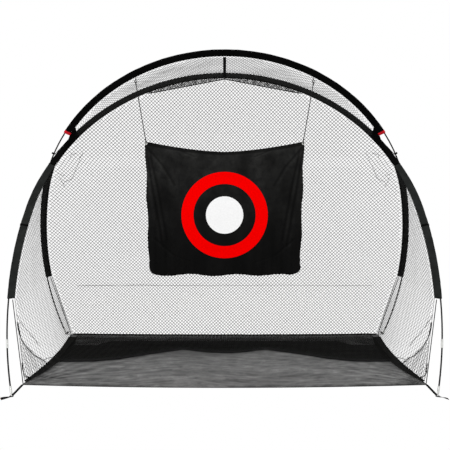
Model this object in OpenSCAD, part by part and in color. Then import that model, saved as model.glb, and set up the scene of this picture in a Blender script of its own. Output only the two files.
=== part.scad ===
// Free-standing golf practice net: two bent rod hoops that cross at the sides and stand in
// the corners of a floor sheet, black netting between them, and a cloth target that hangs
// from the front arch on two cords. Millimetres, +Z up, mouth of the net towards -Y.

/* [Hoops] */
// Radius of each arch, over the top and down to the legs
arch_radius = 1332; // [1326:1:1338]
// Turn from the apex at which the arch ends and the leg begins, degrees
arch_turn = 78.75; // [78:0.25:79.5]
// Radius of the legs, which bend less
leg_radius = 2590; // [2570:5:2610]
// Turn from the apex at the foot, degrees
foot_turn = 106.5; // [106:0.25:107]
// Distance from the front feet to the rear feet
foot_depth = 1500; // [1480:10:1520]
// Lean of the hoop that makes the front arch, degrees
front_arch_lean = 24.7; // [24.2:0.1:25.2]
// Lean of the hoop that makes the rear arch, degrees
rear_arch_lean = 29.5; // [29:0.1:30]

/* [Rods] */
// Diameter of the fibreglass rods
rod_d = 9.5; // [8:0.5:10]
// Outer diameter of the metal ferrules
ferrule_d = 13; // [12.4:0.2:13.2]
// Length of a ferrule
ferrule_l = 55; // [40:5:70]
// Length of the metal tip on each foot, without its pin
tip_l = 46; // [40:2:60]
// Diameter of the pin that goes through the corner eyelet
pin_d = 6; // [5:0.5:6.5]

/* [Sleeves] */
// Width of a rod sleeve, laid flat
sleeve_w = 46; // [40:1:52]
// Thickness of the sleeve over the rod
sleeve_t = 18; // [17:0.5:20]
// Thickness of the sewn seam along the sleeve's inner edge
seam_t = 3; // [2:0.5:4]
// Length of the bound edge round a sleeve's mouth
binding_l = 20; // [14:1:26]

/* [Nets] */
// Width of a strand in the netting
strand_w = 9; // [6:1:14]
// Thickness of the netting
net_t = 2; // [1.5:0.5:3]
// Diameter of the cords along the net's free edges
edge_cord_d = 6; // [4:1:8]
// Diameter of the rope along the rear hem
hem_rope_d = 9; // [6:1:10]

/* [Floor] */
// Half width of the floor sheet at its front corners
floor_front_x = 1252; // [1244:1:1256]
// Half width of the floor sheet at its rear corners
floor_rear_x = 1215; // [1210:1:1220]
// How far the sides of the floor sheet are drawn in
floor_waist = 44; // [20:2:60]
// How far the front edge bows forward
floor_bow = 58; // [30:2:80]
// Thickness of the floor sheet
floor_t = 3; // [3:1:4]

/* [Target] */
// Width of the target along its upper edge
target_w = 1068; // [1060:2:1076]
// Height of the target at its corners
target_h = 895; // [880:5:910]
// How far the upper edge sags
target_sag = 70; // [40:5:90]
// Thickness of the target cloth
target_t = 3; // [2:0.5:4]
// Outer radius of the ring
ring_outer_r = 289; // [280:1:295]
// Inner radius of the ring
ring_inner_r = 208; // [200:1:214]
// Radius of the disc in the middle
disc_r = 125; // [110:1:135]
// Distance from the middle of the cloth's upper edge line down to the middle of the ring
ring_drop = 493; // [480:1:500]
// Diameter of the hanging cords
hang_cord_d = 5.5; // [4:0.5:6]
// Half distance between the two hanging tabs on the front arch
hang_x = 595; // [585:1:610]
// Height of the hinge line of the hanging cords
hang_z = 1900; // [1895:1:1901]
// Height of the target's upper corners
corner_z = 1507; // [1500:1:1512]

/* [Hidden] */

$fn = 32;

// Height of the middle of each pin's end: its lower rim just reaches the ground
foot_z = pin_d * 0.3;
front_y = -foot_depth / 2;
rear_y = foot_depth / 2;

// Centres of the arcs of a hoop, in the hoop's own plane [across, up the slope]
arch_c = [0, (leg_radius - arch_radius) * cos(arch_turn) - leg_radius * cos(foot_turn)];
leg_c = arch_c + (arch_radius - leg_radius) * [sin(arch_turn), cos(arch_turn)];
leg_start_h = arch_c[1] + arch_radius * cos(arch_turn);
leg_len = leg_radius * (foot_turn - arch_turn) * PI / 180;

// Turn at a height up the slope of the hoop
function turn_at(h) =
  h > leg_start_h ? acos((h - arch_c[1]) / arch_radius) : acos((h - leg_c[1]) / leg_radius);

// Turn at a length along the rod from the foot
function turn_along(l) =
  l < leg_len ? foot_turn - l / leg_radius * 180 / PI
  : arch_turn - (l - leg_len) / arch_radius * 180 / PI;

// Point of the hoop at a turn, moved out by r in the plane of the hoop
function hoop_point(t, r) =
  t < arch_turn ? arch_c + (arch_radius + r) * [sin(t), cos(t)]
  : leg_c + (leg_radius + r) * [sin(t), cos(t)];

// The same point in space on each hoop, moved by n across the hoop's plane towards the rear
function on_front_arch(t, r = 0, n = 0) =
  let (p = hoop_point(t, r), c = cos(front_arch_lean), s = sin(front_arch_lean))
  [p[0], rear_y - p[1] * s + n * c, foot_z + p[1] * c + n * s];
function on_rear_arch(t, r = 0, n = 0) =
  let (p = hoop_point(t, r), c = cos(rear_arch_lean), s = sin(rear_arch_lean))
  [p[0], front_y + p[1] * s + n * c, foot_z + p[1] * c - n * s];

function mix(a, b, k) = a * (1 - k) + b * k;
function flip(p) = [-p[0], p[1], p[2]];

// Heights up the slope at which the sleeves begin and end
front_side_low_h = 540;
front_side_top_h = 1490;
front_mouth_h = 1727;
rear_side_low_h = 593;
rear_side_top_h = 1552;
rear_sleeve_low_h = 1578;

// Lengths along the rods from the foot at which the sections meet
rear_foot_end = 316;
leg_end = leg_len;
shoulder_end = 2490;

sleeve_r = sleeve_t / 2;
seam_r = seam_t / 2;
channel_r = ferrule_d / 2 + 0.5;
seam_edge = -(sleeve_w - sleeve_r);
net_edge = seam_edge - 0.4;
// Gap between two nets that leave the same seam, each side of the hoop's plane
net_off = 1.6;

// ---- Drawing along a hoop ----

// A flat outline carried along the right half of a hoop; x is outward, y across the plane
module half_arc(from, to) {
  arcs = [[arch_c, arch_radius, 0, arch_turn], [leg_c, leg_radius, arch_turn, foot_turn]];
  for (a = arcs) {
    lo = max(from, a[2]);
    hi = min(to, a[3]);
    if (hi - lo > 0.001)
      one_arc(a[0], a[1], lo, hi) children();
  }
}

module one_arc(centre, radius, from, to) {
  translate([centre[0], centre[1], 0])
    rotate([0, 0, 90 - to])
      rotate_extrude(angle = to - from, $fn = 180)
        translate([radius, 0])
          children();
}

// The same outline carried over the apex, as far down on both sides
module whole_arc(to) {
  one_arc(arch_c, arch_radius, -to, to) children();
}

// Stands a hoop drawn flat: the front arch rises from the rear feet, the rear arch from the front
module stand_front_arch() {
  translate([0, rear_y, foot_z])
    rotate([90 + front_arch_lean, 0, 0])
      children();
}

module stand_rear_arch() {
  translate([0, front_y, foot_z])
    rotate([90 - rear_arch_lean, 0, 0])
      children();
}

module left_side() {
  mirror([1, 0, 0]) children();
}

// ---- Rods ----

module rod_outline() {
  circle(d = rod_d);
}

module ferrule_outline(play) {
  difference() {
    circle(d = ferrule_d);
    circle(d = rod_d + play);
  }
}

// A ferrule bends as the rod does; where the bend changes it takes the mean of the two
module ferrule_at(l) {
  at_change = abs(l - leg_end) < ferrule_l;
  bend = at_change ? (arch_radius + leg_radius) / 2 : l < leg_end ? leg_radius : arch_radius;
  mid = turn_along(l);
  half = ferrule_l / 2 / bend * 180 / PI;
  one_arc(hoop_point(mid, -bend), bend, mid - half, mid + half)
    ferrule_outline(at_change ? 0.8 : 0.1);
}

rod_start = 24;
rod_gap = 0.3;

module rod_section(from, to) {
  half_arc(turn_along(to - rod_gap), turn_along(from + rod_gap)) rod_outline();
}

module front_arch_crown_rod() {
  color([0.10, 0.10, 0.10])
    stand_front_arch()
      whole_arc(turn_along(shoulder_end + rod_gap)) rod_outline();
}

module front_arch_shoulder_rod() {
  color([0.10, 0.10, 0.10])
    stand_front_arch()
      rod_section(leg_end, shoulder_end);
}

module front_arch_leg_rod() {
  color([0.10, 0.10, 0.10])
    stand_front_arch()
      rod_section(rod_start, leg_end);
}

module front_arch_ferrules() {
  color([0.72, 0.73, 0.72])
    stand_front_arch()
      for (l = [leg_end, shoulder_end]) {
        ferrule_at(l);
        left_side() ferrule_at(l);
      }
}

module rear_arch_crown_rod() {
  color([0.10, 0.10, 0.10])
    stand_rear_arch()
      whole_arc(turn_along(shoulder_end + rod_gap)) rod_outline();
}

module rear_arch_shoulder_rod() {
  color([0.10, 0.10, 0.10])
    stand_rear_arch()
      rod_section(leg_end, shoulder_end);
}

module rear_arch_leg_rod() {
  color([0.10, 0.10, 0.10])
    stand_rear_arch()
      rod_section(rear_foot_end, leg_end);
}

module rear_arch_foot_rod() {
  color([0.10, 0.10, 0.10])
    stand_rear_arch()
      rod_section(rod_start, rear_foot_end);
}

module rear_arch_ferrules() {
  color([0.72, 0.73, 0.72])
    stand_rear_arch()
      for (l = [rear_foot_end, leg_end, shoulder_end]) {
        ferrule_at(l);
        left_side() ferrule_at(l);
      }
}

// A metal tip: a socket over the rod's end, closed below, with a pin
pin_l = 12;
module foot_tip() {
  difference() {
    half_arc(turn_along(tip_l + pin_l), turn_along(pin_l)) circle(d = ferrule_d);
    half_arc(turn_along(tip_l + pin_l + 1), turn_along(rod_start - 0.5)) circle(d = rod_d + 0.1);
  }
  half_arc(turn_along(pin_l + 3), foot_turn) circle(d = pin_d);
}

module front_foot_tips() {
  color([0.75, 0.75, 0.73])
    stand_rear_arch() {
      foot_tip();
      left_side() foot_tip();
    }
}

module rear_foot_tips() {
  color([0.75, 0.75, 0.73])
    stand_front_arch() {
      foot_tip();
      left_side() foot_tip();
    }
}

// ---- Sleeves ----

// Outline of a sleeve: round over the rod, tapering to the flat seam on the net's side
function around(centre, r, from, to, steps) =
  [for (i = [0:steps]) let (a = from + (to - from) * i / steps)
    centre + r * [cos(a), sin(a)]];
function sleeve_points(grow) =
  let (
    big = sleeve_r + grow, small = seam_r + grow, far = sleeve_w - sleeve_r - seam_r,
    lean = asin((big - small) / far)
  )
  concat(around([0, 0], big, -90 - lean, 90 + lean, 14),
    around([-far, 0], small, 90 + lean, 270 - lean, 4));

module sleeve_outline() {
  difference() {
    polygon(sleeve_points(0));
    polygon(around([0, 0], channel_r / cos(15), 0, 330, 11));
  }
}

module front_arch_sleeve() {
  color([0.06, 0.06, 0.06])
    stand_front_arch()
      whole_arc(turn_at(front_mouth_h)) sleeve_outline();
}

module front_arch_side_sleeve() {
  color([0.06, 0.06, 0.06])
    stand_front_arch()
      half_arc(turn_at(front_side_top_h), turn_at(front_side_low_h)) sleeve_outline();
}

module rear_arch_sleeve() {
  color([0.10, 0.11, 0.10])
    stand_rear_arch()
      whole_arc(turn_at(rear_sleeve_low_h)) sleeve_outline();
}

module rear_arch_side_sleeve() {
  color([0.17, 0.17, 0.17])
    stand_rear_arch()
      half_arc(turn_at(rear_side_top_h), turn_at(rear_side_low_h)) sleeve_outline();
}

// The red edge sewn round the mouth of the front arch's sleeve
binding_t = 1.2;
module sleeve_binding() {
  mouth = turn_at(front_mouth_h);
  color([0.80, 0.08, 0.12])
    stand_front_arch()
      half_arc(mouth - binding_l / arch_radius * 180 / PI, mouth)
        difference() {
          polygon(sleeve_points(binding_t));
          polygon(sleeve_points(0.1));
        }
}

// ---- Cords and straps ----

// A straight round cord between two points
module straight_cord(p, q, d) {
  v = q - p;
  l = norm(v);
  translate(p)
    rotate([0, acos(v[2] / l), atan2(v[1], v[0])])
      cylinder(h = l, d = d);
}

tie_d = 5;
tie_front_h = 1566;
tie_rear_h = 1690;

// A cord knotted round the bare rod and sewn by its two ends to the rear arch's sleeve
module crossing_tie() {
  rod_turn = turn_at(tie_front_h);
  knot_r = tie_d * 1.1;
  knot = on_front_arch(rod_turn, rod_d / 2 + knot_r + 0.4);
  inner = on_front_arch(rod_turn, -(rod_d / 2 + tie_d / 2 + 0.2));
  upper = on_rear_arch(turn_at(tie_rear_h), sleeve_r + tie_d / 2 + 0.3);
  lower = on_rear_arch(turn_at(tie_rear_h - 26), sleeve_r + tie_d / 2 + 0.3);
  ring_in = rod_d / 2 + 0.3;
  color([0.08, 0.08, 0.08]) {
    stand_front_arch()
      half_arc(rod_turn - 0.11, rod_turn + 0.11)
        difference() {
          circle(r = ring_in + tie_d);
          circle(r = ring_in);
        }
    straight_cord(inner, upper, tie_d);
    straight_cord(inner, lower, tie_d);
    translate(knot) sphere(r = knot_r);
  }
}

// Where the nets' free edges begin on the sleeves
front_cord_top = on_rear_arch(turn_at(rear_side_low_h) + 0.2, net_edge + 12);
rear_cord_top = on_front_arch(turn_at(front_side_low_h) + 0.2, net_edge + 12);
floor_front_y = -536;
floor_rear_y = 742;
cord_z = floor_t + edge_cord_d / 2 + 0.3;
front_cord_foot = [floor_front_x - 8, floor_front_y + 10, cord_z];
rear_cord_foot = [floor_rear_x - 8, floor_rear_y - 10, cord_z];

module front_edge_cord() {
  color([0.08, 0.08, 0.08])
    straight_cord(front_cord_top, front_cord_foot, edge_cord_d);
}

module rear_edge_cord() {
  color([0.08, 0.08, 0.08])
    straight_cord(rear_cord_top, rear_cord_foot, edge_cord_d);
}

// The rope along the rear edge of the floor, drawn forward in the middle
hem_z = floor_t + hem_rope_d / 2 + 0.3;
hem_x = 1196;
hem_end_y = 722;
hem_draw = 38;
hem_radius = (hem_x * hem_x + hem_draw * hem_draw) / (2 * hem_draw);
hem_turn = asin(hem_x / hem_radius);
module rear_hem_rope() {
  color([0.10, 0.10, 0.10])
    translate([0, hem_end_y - hem_draw + hem_radius, hem_z])
      rotate([0, 0, -90 - hem_turn])
        rotate_extrude(angle = 2 * hem_turn, $fn = 720)
          translate([hem_radius, 0])
            circle(d = hem_rope_d);
}

// The seam cord under the rear arch: two straight runs from the apex out to the arch
seam_cord_d = 6;
seam_cord_turn = 26;
module roof_seam_cord() {
  apex = on_rear_arch(0, net_edge - 13, -8);
  side = on_rear_arch(seam_cord_turn, net_edge - 13, -8);
  color([0.10, 0.10, 0.10]) {
    straight_cord(apex, side, seam_cord_d);
    straight_cord(apex, flip(side), seam_cord_d);
  }
}

// The webbing between the two arches at the apex, under the roof net
strap_w = 21;
strap_t = 2;
module apex_strap() {
  p = on_front_arch(0, net_edge, 0) + [0, 4, -5];
  q = on_rear_arch(0, net_edge, 0) + [0, -24, -3];
  v = q - p;
  color([0.07, 0.07, 0.07])
    translate([0, p[1], p[2]])
      rotate([atan2(v[2], v[1]), 0, 0])
        translate([-strap_w / 2, 0, -strap_t])
          cube([strap_w, norm(v), strap_t]);
}

// ---- Sheets and nets on a grid of points ----

// Faces of a grid are listed clockwise as seen from the side that the thickness points away from
module plain_sheet(grid, thick) {
  rows = len(grid);
  cols = len(grid[0]);
  n = rows * cols;
  front = [for (row = grid) for (p = row) p];
  back = [for (p = front) p + thick];
  faces = [
    for (i = [0:rows - 2]) for (j = [0:cols - 2])
      let (a = i * cols + j, b = a + 1, c = b + cols, d = a + cols)
      each [[a, b, c], [a, c, d], [c + n, b + n, a + n], [d + n, c + n, a + n]],
    for (j = [0:cols - 2])
      let (a = j, b = j + 1, c = (rows - 1) * cols + j + 1, d = c - 1)
      each [[b, a, a + n], [b, a + n, b + n], [d, c, c + n], [d, c + n, d + n]],
    for (i = [0:rows - 2])
      let (a = i * cols, d = a + cols, b = a + cols - 1, c = b + cols)
      each [[c, b, b + n], [c, b + n, c + n], [a, d, d + n], [a, d + n, a + n]]
  ];
  polyhedron(points = concat(front, back), faces = faces);
}

// The same sheet with an opening in every cell, as netting
module open_net(grid, thick, strand) {
  rows = len(grid);
  cols = len(grid[0]);
  cells = (rows - 1) * (cols - 1);
  front = [for (row = grid) for (p = row) p];
  holes = [
    for (i = [0:rows - 2]) for (j = [0:cols - 2])
      let (
        a = grid[i][j], b = grid[i][j + 1], c = grid[i + 1][j + 1], d = grid[i + 1][j],
        wide = min(0.4, strand / (norm(b - a) + norm(c - d))),
        tall = min(0.4, strand / (norm(d - a) + norm(c - b))),
        k = [[tall, wide], [tall, 1 - wide], [1 - tall, 1 - wide], [1 - tall, wide]]
      )
      for (m = k) mix(mix(a, b, m[1]), mix(d, c, m[1]), m[0])
  ];
  n = len(front);
  shift = n + 4 * cells;
  faces = [
    for (i = [0:rows - 2]) for (j = [0:cols - 2])
      let (
        a = i * cols + j, o = [a, a + 1, a + 1 + cols, a + cols],
        h = n + 4 * (i * (cols - 1) + j)
      )
      for (s = [0:3])
        let (
          p = o[s], q = o[(s + 1) % 4], u = h + s, v = h + (s + 1) % 4,
          pb = p + shift, qb = q + shift, ub = u + shift, vb = v + shift
        )
        each [[p, q, v], [p, v, u], [vb, qb, pb], [ub, vb, pb], [u, v, vb], [u, vb, ub]],
    for (j = [0:cols - 2])
      let (a = j, b = j + 1, c = (rows - 1) * cols + j + 1, d = c - 1)
      each [
        [b, a, a + shift], [b, a + shift, b + shift],
        [d, c, c + shift], [d, c + shift, d + shift]
      ],
    for (i = [0:rows - 2])
      let (a = i * cols, d = a + cols, b = a + cols - 1, c = b + cols)
      each [
        [c, b, b + shift], [c, b + shift, c + shift],
        [a, d, d + shift], [a, d + shift, a + shift]
      ]
  ];
  points = concat(front, holes);
  polyhedron(points = concat(points, [for (p = points) p + thick]), faces = faces);
}

// Roof: between the two arches, from one gusset over the top to the other
roof_turn = 52.6;
roof_cells = 18;
roof_rows = 3;
module roof_net() {
  grid = [
    for (i = [0:roof_rows])
      [
        for (j = [-roof_cells / 2:roof_cells / 2])
          let (
            t = abs(j) / (roof_cells / 2) * roof_turn,
            p = mix(on_rear_arch(t, net_edge, -net_off), on_front_arch(t, net_edge, net_off),
              i / roof_rows)
          )
          j < 0 ? flip(p) : p
      ]
  ];
  color([0.12, 0.12, 0.12])
    open_net(grid, [0, 0, -net_t], strand_w);
}

// Gusset: solid cloth between the arches, from the roof net down to the sleeve's mouth
gusset_turn = 60.5;
module crossing_gusset() {
  steps = 4;
  grid = [
    for (i = [0, 1])
      [
        for (j = [0:steps])
          let (t = mix(roof_turn + 0.1, gusset_turn, j / steps))
          mix(on_rear_arch(t, net_edge, -net_off), on_front_arch(min(t, 56.4), net_edge, net_off), i)
      ]
  ];
  color([0.05, 0.05, 0.05])
    plain_sheet(grid, [-net_t, 0, -net_t]);
}

// Sides: between the two hoops below the crossing, down to the side edge of the floor
function floor_side_x(k) = mix(floor_front_x, floor_rear_x, k) - floor_waist * 4 * k * (1 - k);
side_rows = 7;
side_sleeve_rows = 4;
side_cells = 5;
net_foot_z = floor_t + 1;
function side_front(i) =
  i <= side_sleeve_rows
  ? on_rear_arch(mix(turn_at(rear_side_top_h - 60), turn_at(rear_side_low_h), i / side_sleeve_rows),
    net_edge, net_off)
  : mix(on_rear_arch(turn_at(rear_side_low_h), net_edge, net_off),
    [floor_front_x - 14, floor_front_y + 22, net_foot_z],
    (i - side_sleeve_rows) / (side_rows - side_sleeve_rows));
function side_rear(i) =
  i <= side_sleeve_rows
  ? on_front_arch(mix(turn_at(front_side_top_h - 60), turn_at(front_side_low_h),
    i / side_sleeve_rows), net_edge, -net_off)
  : mix(on_front_arch(turn_at(front_side_low_h), net_edge, -net_off),
    [floor_rear_x - 14, floor_rear_y - 22, net_foot_z],
    (i - side_sleeve_rows) / (side_rows - side_sleeve_rows));
// The netting follows the drawn-in edge of the floor more and more towards the ground
function side_draw(i, k) =
  i <= side_sleeve_rows ? 0
  : -floor_waist * 4 * k * (1 - k) * (i - side_sleeve_rows) / (side_rows - side_sleeve_rows);
module side_net() {
  grid = [
    for (i = [0:side_rows])
      [
        for (j = [0:side_cells])
          let (k = j / side_cells)
          mix(side_front(i), side_rear(i), k) + [side_draw(i, k), 0, 0]
      ]
  ];
  color([0.12, 0.12, 0.12])
    open_net(grid, [-net_t, 0, 0], strand_w);
}

// Back: hung from the rear arch above the crossing and from the front arch's legs below it
back_cells = 10;
back_leg_rows = 5;
back_arch_rows = 5;
back_floor_y = 668;
function back_edge(i) =
  i < back_arch_rows
  ? on_rear_arch(mix(9, turn_at(rear_sleeve_low_h + 40), i / (back_arch_rows - 1)),
    net_edge, net_off)
  : i < back_arch_rows + back_leg_rows
  ? on_front_arch(mix(turn_at(front_side_top_h - 20), turn_at(front_side_low_h),
    (i - back_arch_rows) / (back_leg_rows - 1)), net_edge, net_off)
  : mix(on_front_arch(turn_at(front_side_low_h), net_edge, net_off),
    [floor_rear_x - 24, floor_rear_y - 30, net_foot_z],
    (i - back_arch_rows - back_leg_rows + 1) / 2);
back_top = on_rear_arch(0, net_edge, net_off);
function back_middle_y(z) = mix(back_floor_y, back_top[1], z / back_top[2]);
module back_net() {
  grid = [
    for (i = [0:back_arch_rows + back_leg_rows + 1])
      let (e = back_edge(i), belly = back_middle_y(e[2]) - e[1])
      [
        for (j = [0:back_cells])
          let (k = 2 * j / back_cells - 1)
          [e[0] * k, e[1] + belly * (1 - k * k), e[2]]
      ]
  ];
  color([0.12, 0.12, 0.12])
    open_net(grid, [0, net_t, 0], strand_w);
}

// ---- Floor ----

module floor_sheet() {
  steps = 12;
  side = [
    for (i = [0:steps])
      let (k = i / steps)
      [floor_side_x(k), mix(floor_front_y, floor_rear_y, k)]
  ];
  rear = [for (i = [1:steps - 1]) let (k = 1 - 2 * i / steps)
    [floor_rear_x * k, floor_rear_y - 42 * (1 - k * k)]];
  front = [for (i = [1:steps - 1]) let (k = 2 * i / steps - 1)
    [floor_front_x * k, floor_front_y - floor_bow * (1 - k * k)]];
  other = [for (i = [steps:-1:0]) [-side[i][0], side[i][1]]];
  color([0.22, 0.22, 0.22])
    linear_extrude(height = floor_t)
      polygon(concat(side, rear, other, front));
}

// The slack end of the back net, lying in low folds on the rear of the floor
apron_x = 1150;
apron_rear_y = 652;
apron_z = floor_t + 0.5;
function apron_front_y(x) =
  20 + 250 * pow(cos(x / apron_x * 90), 0.8) + 38 * cos(x / apron_x * 540);
module apron_form() {
  cols = 24;
  rows = 6;
  grid = [
    for (i = [0:rows])
      [
        for (j = [0:cols])
          let (
            x = apron_x * (2 * j / cols - 1),
            y = mix(apron_rear_y, min(apron_front_y(x), apron_rear_y - 40), i / rows)
          )
          [x, y, apron_z + 4 + 5 * (1 + cos(x * 0.6 + y)) * sin(i / rows * 180)]
      ]
  ];
  plain_sheet(grid, [0, 0, -3]);
}

module net_apron() {
  color([0.07, 0.07, 0.07])
    apron_form();
}

// ---- Corners ----

strap_z = 1;
corner_strap_w = 16;
eyelet_r = 12;
foot_x = hoop_point(foot_turn, 0)[0];

// A flat run of webbing between two points on the ground
module flat_run(p, q) {
  v = q - p;
  translate([p[0], p[1], strap_z])
    rotate([0, 0, atan2(v[1], v[0])])
      translate([0, -corner_strap_w / 2, 0])
        cube([norm(v), corner_strap_w, 2]);
}

// Webbing from the floor's corner to the foot, with a free tail past it
module corner_strap(corner, foot, tail) {
  difference() {
    union() {
      flat_run(corner, foot);
      flat_run(foot, tail);
      translate([foot[0], foot[1], strap_z]) cylinder(h = 2, d = corner_strap_w + 8);
    }
    translate([foot[0], foot[1], 0]) cylinder(h = 6, r = eyelet_barrel_r + 0.1);
  }
}

tail_y = 825;
module front_corner_strap() {
  color([0.06, 0.06, 0.06])
    corner_strap([floor_front_x - 8, floor_front_y - 2.5], [foot_x, front_y],
      [foot_x + 44, -tail_y + corner_strap_w / 2]);
}

module rear_corner_strap() {
  color([0.06, 0.06, 0.06])
    corner_strap([floor_rear_x + 9, floor_rear_y - 10], [foot_x, rear_y],
      [foot_x, tail_y - 3.6]);
}

// Metal eyelets in the corner straps, one under each foot
eyelet_barrel_r = 8;
eyelet_bore_r = 6;
module eyelet(x, y) {
  translate([x, y, 0])
    difference() {
      union() {
        cylinder(h = 0.9, r = eyelet_r);
        cylinder(h = 4, r = eyelet_barrel_r);
        translate([0, 0, 3.1]) cylinder(h = 0.9, r = eyelet_r);
      }
      translate([0, 0, -1]) cylinder(h = 6, r = eyelet_bore_r);
    }
}

module corner_eyelets() {
  color([0.12, 0.12, 0.12])
    for (x = [-foot_x, foot_x], y = [front_y, rear_y])
      eyelet(x, y);
}

// ---- Target ----

// The hinge line of the cords lies under the front arch's seam at the hanging tabs
tab_seam = on_front_arch(asin(hang_x / (arch_radius + seam_edge)), seam_edge);
hang_y = tab_seam[1];
tab_ring_r = 9;
tab_wire_d = 4;
eye_r = 5.75;
strip = 5;
corner_x = target_w / 2 - 8;
corner_hinge_z = corner_z - strip;

// A loop of cord under the sleeve's seam: its lowest point is on the hinge line
module hanging_tab() {
  color([0.06, 0.06, 0.06]) {
    translate([hang_x, hang_y, hang_z + tab_ring_r])
      rotate([90, 0, 0])
        rotate_extrude()
          translate([tab_ring_r, 0])
            circle(d = tab_wire_d);
    straight_cord([hang_x, hang_y, hang_z + 2 * tab_ring_r - 1],
      [hang_x, hang_y, tab_seam[2] - 0.5], tab_wire_d - 0.4);
  }
}

// A hanging cord: an eye round the tab's loop, a straight run, and a loop through the eyelet
corner_loop_r = 9;
module target_cord() {
  top = [hang_x, hang_y, hang_z];
  low = [corner_x, hang_y, corner_hinge_z];
  v = (low - top) / norm(low - top);
  color([0.09, 0.09, 0.09]) {
    for (e = [[top, eye_r], [low, corner_loop_r]])
      translate(e[0])
        rotate([0, 90, 0])
          rotate_extrude()
            translate([e[1], 0])
              circle(d = hang_cord_d);
    straight_cord(top + v * eye_r, low - v * corner_loop_r, hang_cord_d - 0.4);
  }
}

// Folds run down from the two upper corners and along the sides, and die out at the ring
function fold(x, z) =
  let (
    down = corner_z - z,
    side = (corner_x - abs(x)),
    r = norm([x, ring_drop - down]),
    free = min(1, max(0, (r - ring_outer_r - 52) / 120)),
    fan = atan2(down + 30, side + 60)
  )
  free * (12 * sin(fan * 11) * min(1, down / 90) * min(1, norm([side, down]) / 300 + 0.2)
    + 6 * sin(x * 1.7 + 40) * min(1, down / 500));
function target_half_w(k) = mix(target_w / 2, 507, min(1, k * 1.15)) - (k > 0.93 ? 60 * (k - 0.93) / 0.07 : 0);
module target_sheet() {
  cols = 24;
  rows = 20;
  grid = [
    for (i = [0:rows])
      [
        for (j = [0:cols])
          let (
            u = 2 * j / cols - 1,
            k = i / rows,
            x = u * target_half_w(k),
            top_z = corner_z - target_sag * (1 - pow(abs(u), 1.6)),
            low_z = corner_z - target_h + 10 * abs(u),
            z = mix(top_z, low_z, k)
          )
          [x, hang_y - target_t / 2 + fold(x, z), z]
      ]
  ];
  color([0.08, 0.08, 0.08])
    difference() {
      plain_sheet(grid, [0, target_t, 0]);
      for (s = [-1, 1])
        translate([s * corner_x, hang_y, corner_hinge_z - corner_loop_r])
          rotate([90, 0, 0])
            cylinder(h = 40, r = target_bore_r + 0.8, center = true);
    }
}

target_bore_r = 4.4;
mark_t = 0.8;
mark_y = hang_y - target_t / 2 - 0.2;
ring_z = corner_z - ring_drop;
module mark_place() {
  translate([0, mark_y, ring_z]) rotate([90, 0, 0]) children();
}

module target_ring() {
  color([0.95, 0.05, 0.05])
    mark_place()
      difference() {
        cylinder(h = mark_t, r = ring_outer_r, $fn = 96);
        translate([0, 0, -1]) cylinder(h = mark_t + 2, r = ring_inner_r, $fn = 96);
      }
}

module target_disc() {
  color([0.95, 0.95, 0.95])
    mark_place()
      cylinder(h = mark_t, r = disc_r, $fn = 96);
}

// Metal eyelets in the target's upper corners
flange_at = target_t / 2 + 1.1;
module target_eyelets() {
  color([0.55, 0.55, 0.55])
    for (s = [-1, 1])
      translate([s * corner_x, hang_y, corner_hinge_z - corner_loop_r])
        rotate([90, 0, 0])
          difference() {
            union() {
              translate([0, 0, flange_at]) cylinder(h = 0.7, r = 9);
              cylinder(h = 2 * flange_at + 0.6, r = target_bore_r + 0.7, center = true);
              translate([0, 0, -flange_at - 0.7]) cylinder(h = 0.7, r = 9);
            }
            cylinder(h = 20, r = target_bore_r, center = true);
          }
}

// ---- Output ----

front_arch_crown_rod();
left_side() front_arch_shoulder_rod();  // front_arch_shoulder_rod_left
front_arch_shoulder_rod();  // front_arch_shoulder_rod_right
left_side() front_arch_leg_rod();  // front_arch_leg_rod_left
front_arch_leg_rod();  // front_arch_leg_rod_right
front_arch_ferrules();
rear_arch_crown_rod();
left_side() rear_arch_shoulder_rod();  // rear_arch_shoulder_rod_left
rear_arch_shoulder_rod();  // rear_arch_shoulder_rod_right
left_side() rear_arch_leg_rod();  // rear_arch_leg_rod_left
rear_arch_leg_rod();  // rear_arch_leg_rod_right
left_side() rear_arch_foot_rod();  // rear_arch_foot_rod_left
rear_arch_foot_rod();  // rear_arch_foot_rod_right
rear_arch_ferrules();
front_foot_tips();
rear_foot_tips();
front_arch_sleeve();
left_side() front_arch_side_sleeve();  // front_arch_side_sleeve_left
front_arch_side_sleeve();  // front_arch_side_sleeve_right
rear_arch_sleeve();
left_side() rear_arch_side_sleeve();  // rear_arch_side_sleeve_left
rear_arch_side_sleeve();  // rear_arch_side_sleeve_right
left_side() sleeve_binding();  // sleeve_binding_left
sleeve_binding();  // sleeve_binding_right
left_side() crossing_tie();  // crossing_tie_left
crossing_tie();  // crossing_tie_right
left_side() crossing_gusset();  // crossing_gusset_left
crossing_gusset();  // crossing_gusset_right
roof_net();
back_net();
left_side() side_net();  // side_net_left
side_net();  // side_net_right
left_side() front_edge_cord();  // front_edge_cord_left
front_edge_cord();  // front_edge_cord_right
left_side() rear_edge_cord();  // rear_edge_cord_left
rear_edge_cord();  // rear_edge_cord_right
rear_hem_rope();
roof_seam_cord();
apex_strap();
floor_sheet();
net_apron();
left_side() front_corner_strap();  // front_corner_strap_left
front_corner_strap();  // front_corner_strap_right
left_side() rear_corner_strap();  // rear_corner_strap_left
rear_corner_strap();  // rear_corner_strap_right
corner_eyelets();
left_side() hanging_tab();  // hanging_tab_left
hanging_tab();  // hanging_tab_right
left_side() target_cord();  // target_cord_left
target_cord();  // target_cord_right
target_sheet();
target_ring();
target_disc();
target_eyelets();
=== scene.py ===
from math import acos, asin, atan2, ceil, cos, exp, hypot, pi, radians, sin

import bmesh
import bpy
import numpy as np
from mathutils import Matrix, Vector, noise
from mathutils.kdtree import KDTree


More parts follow.
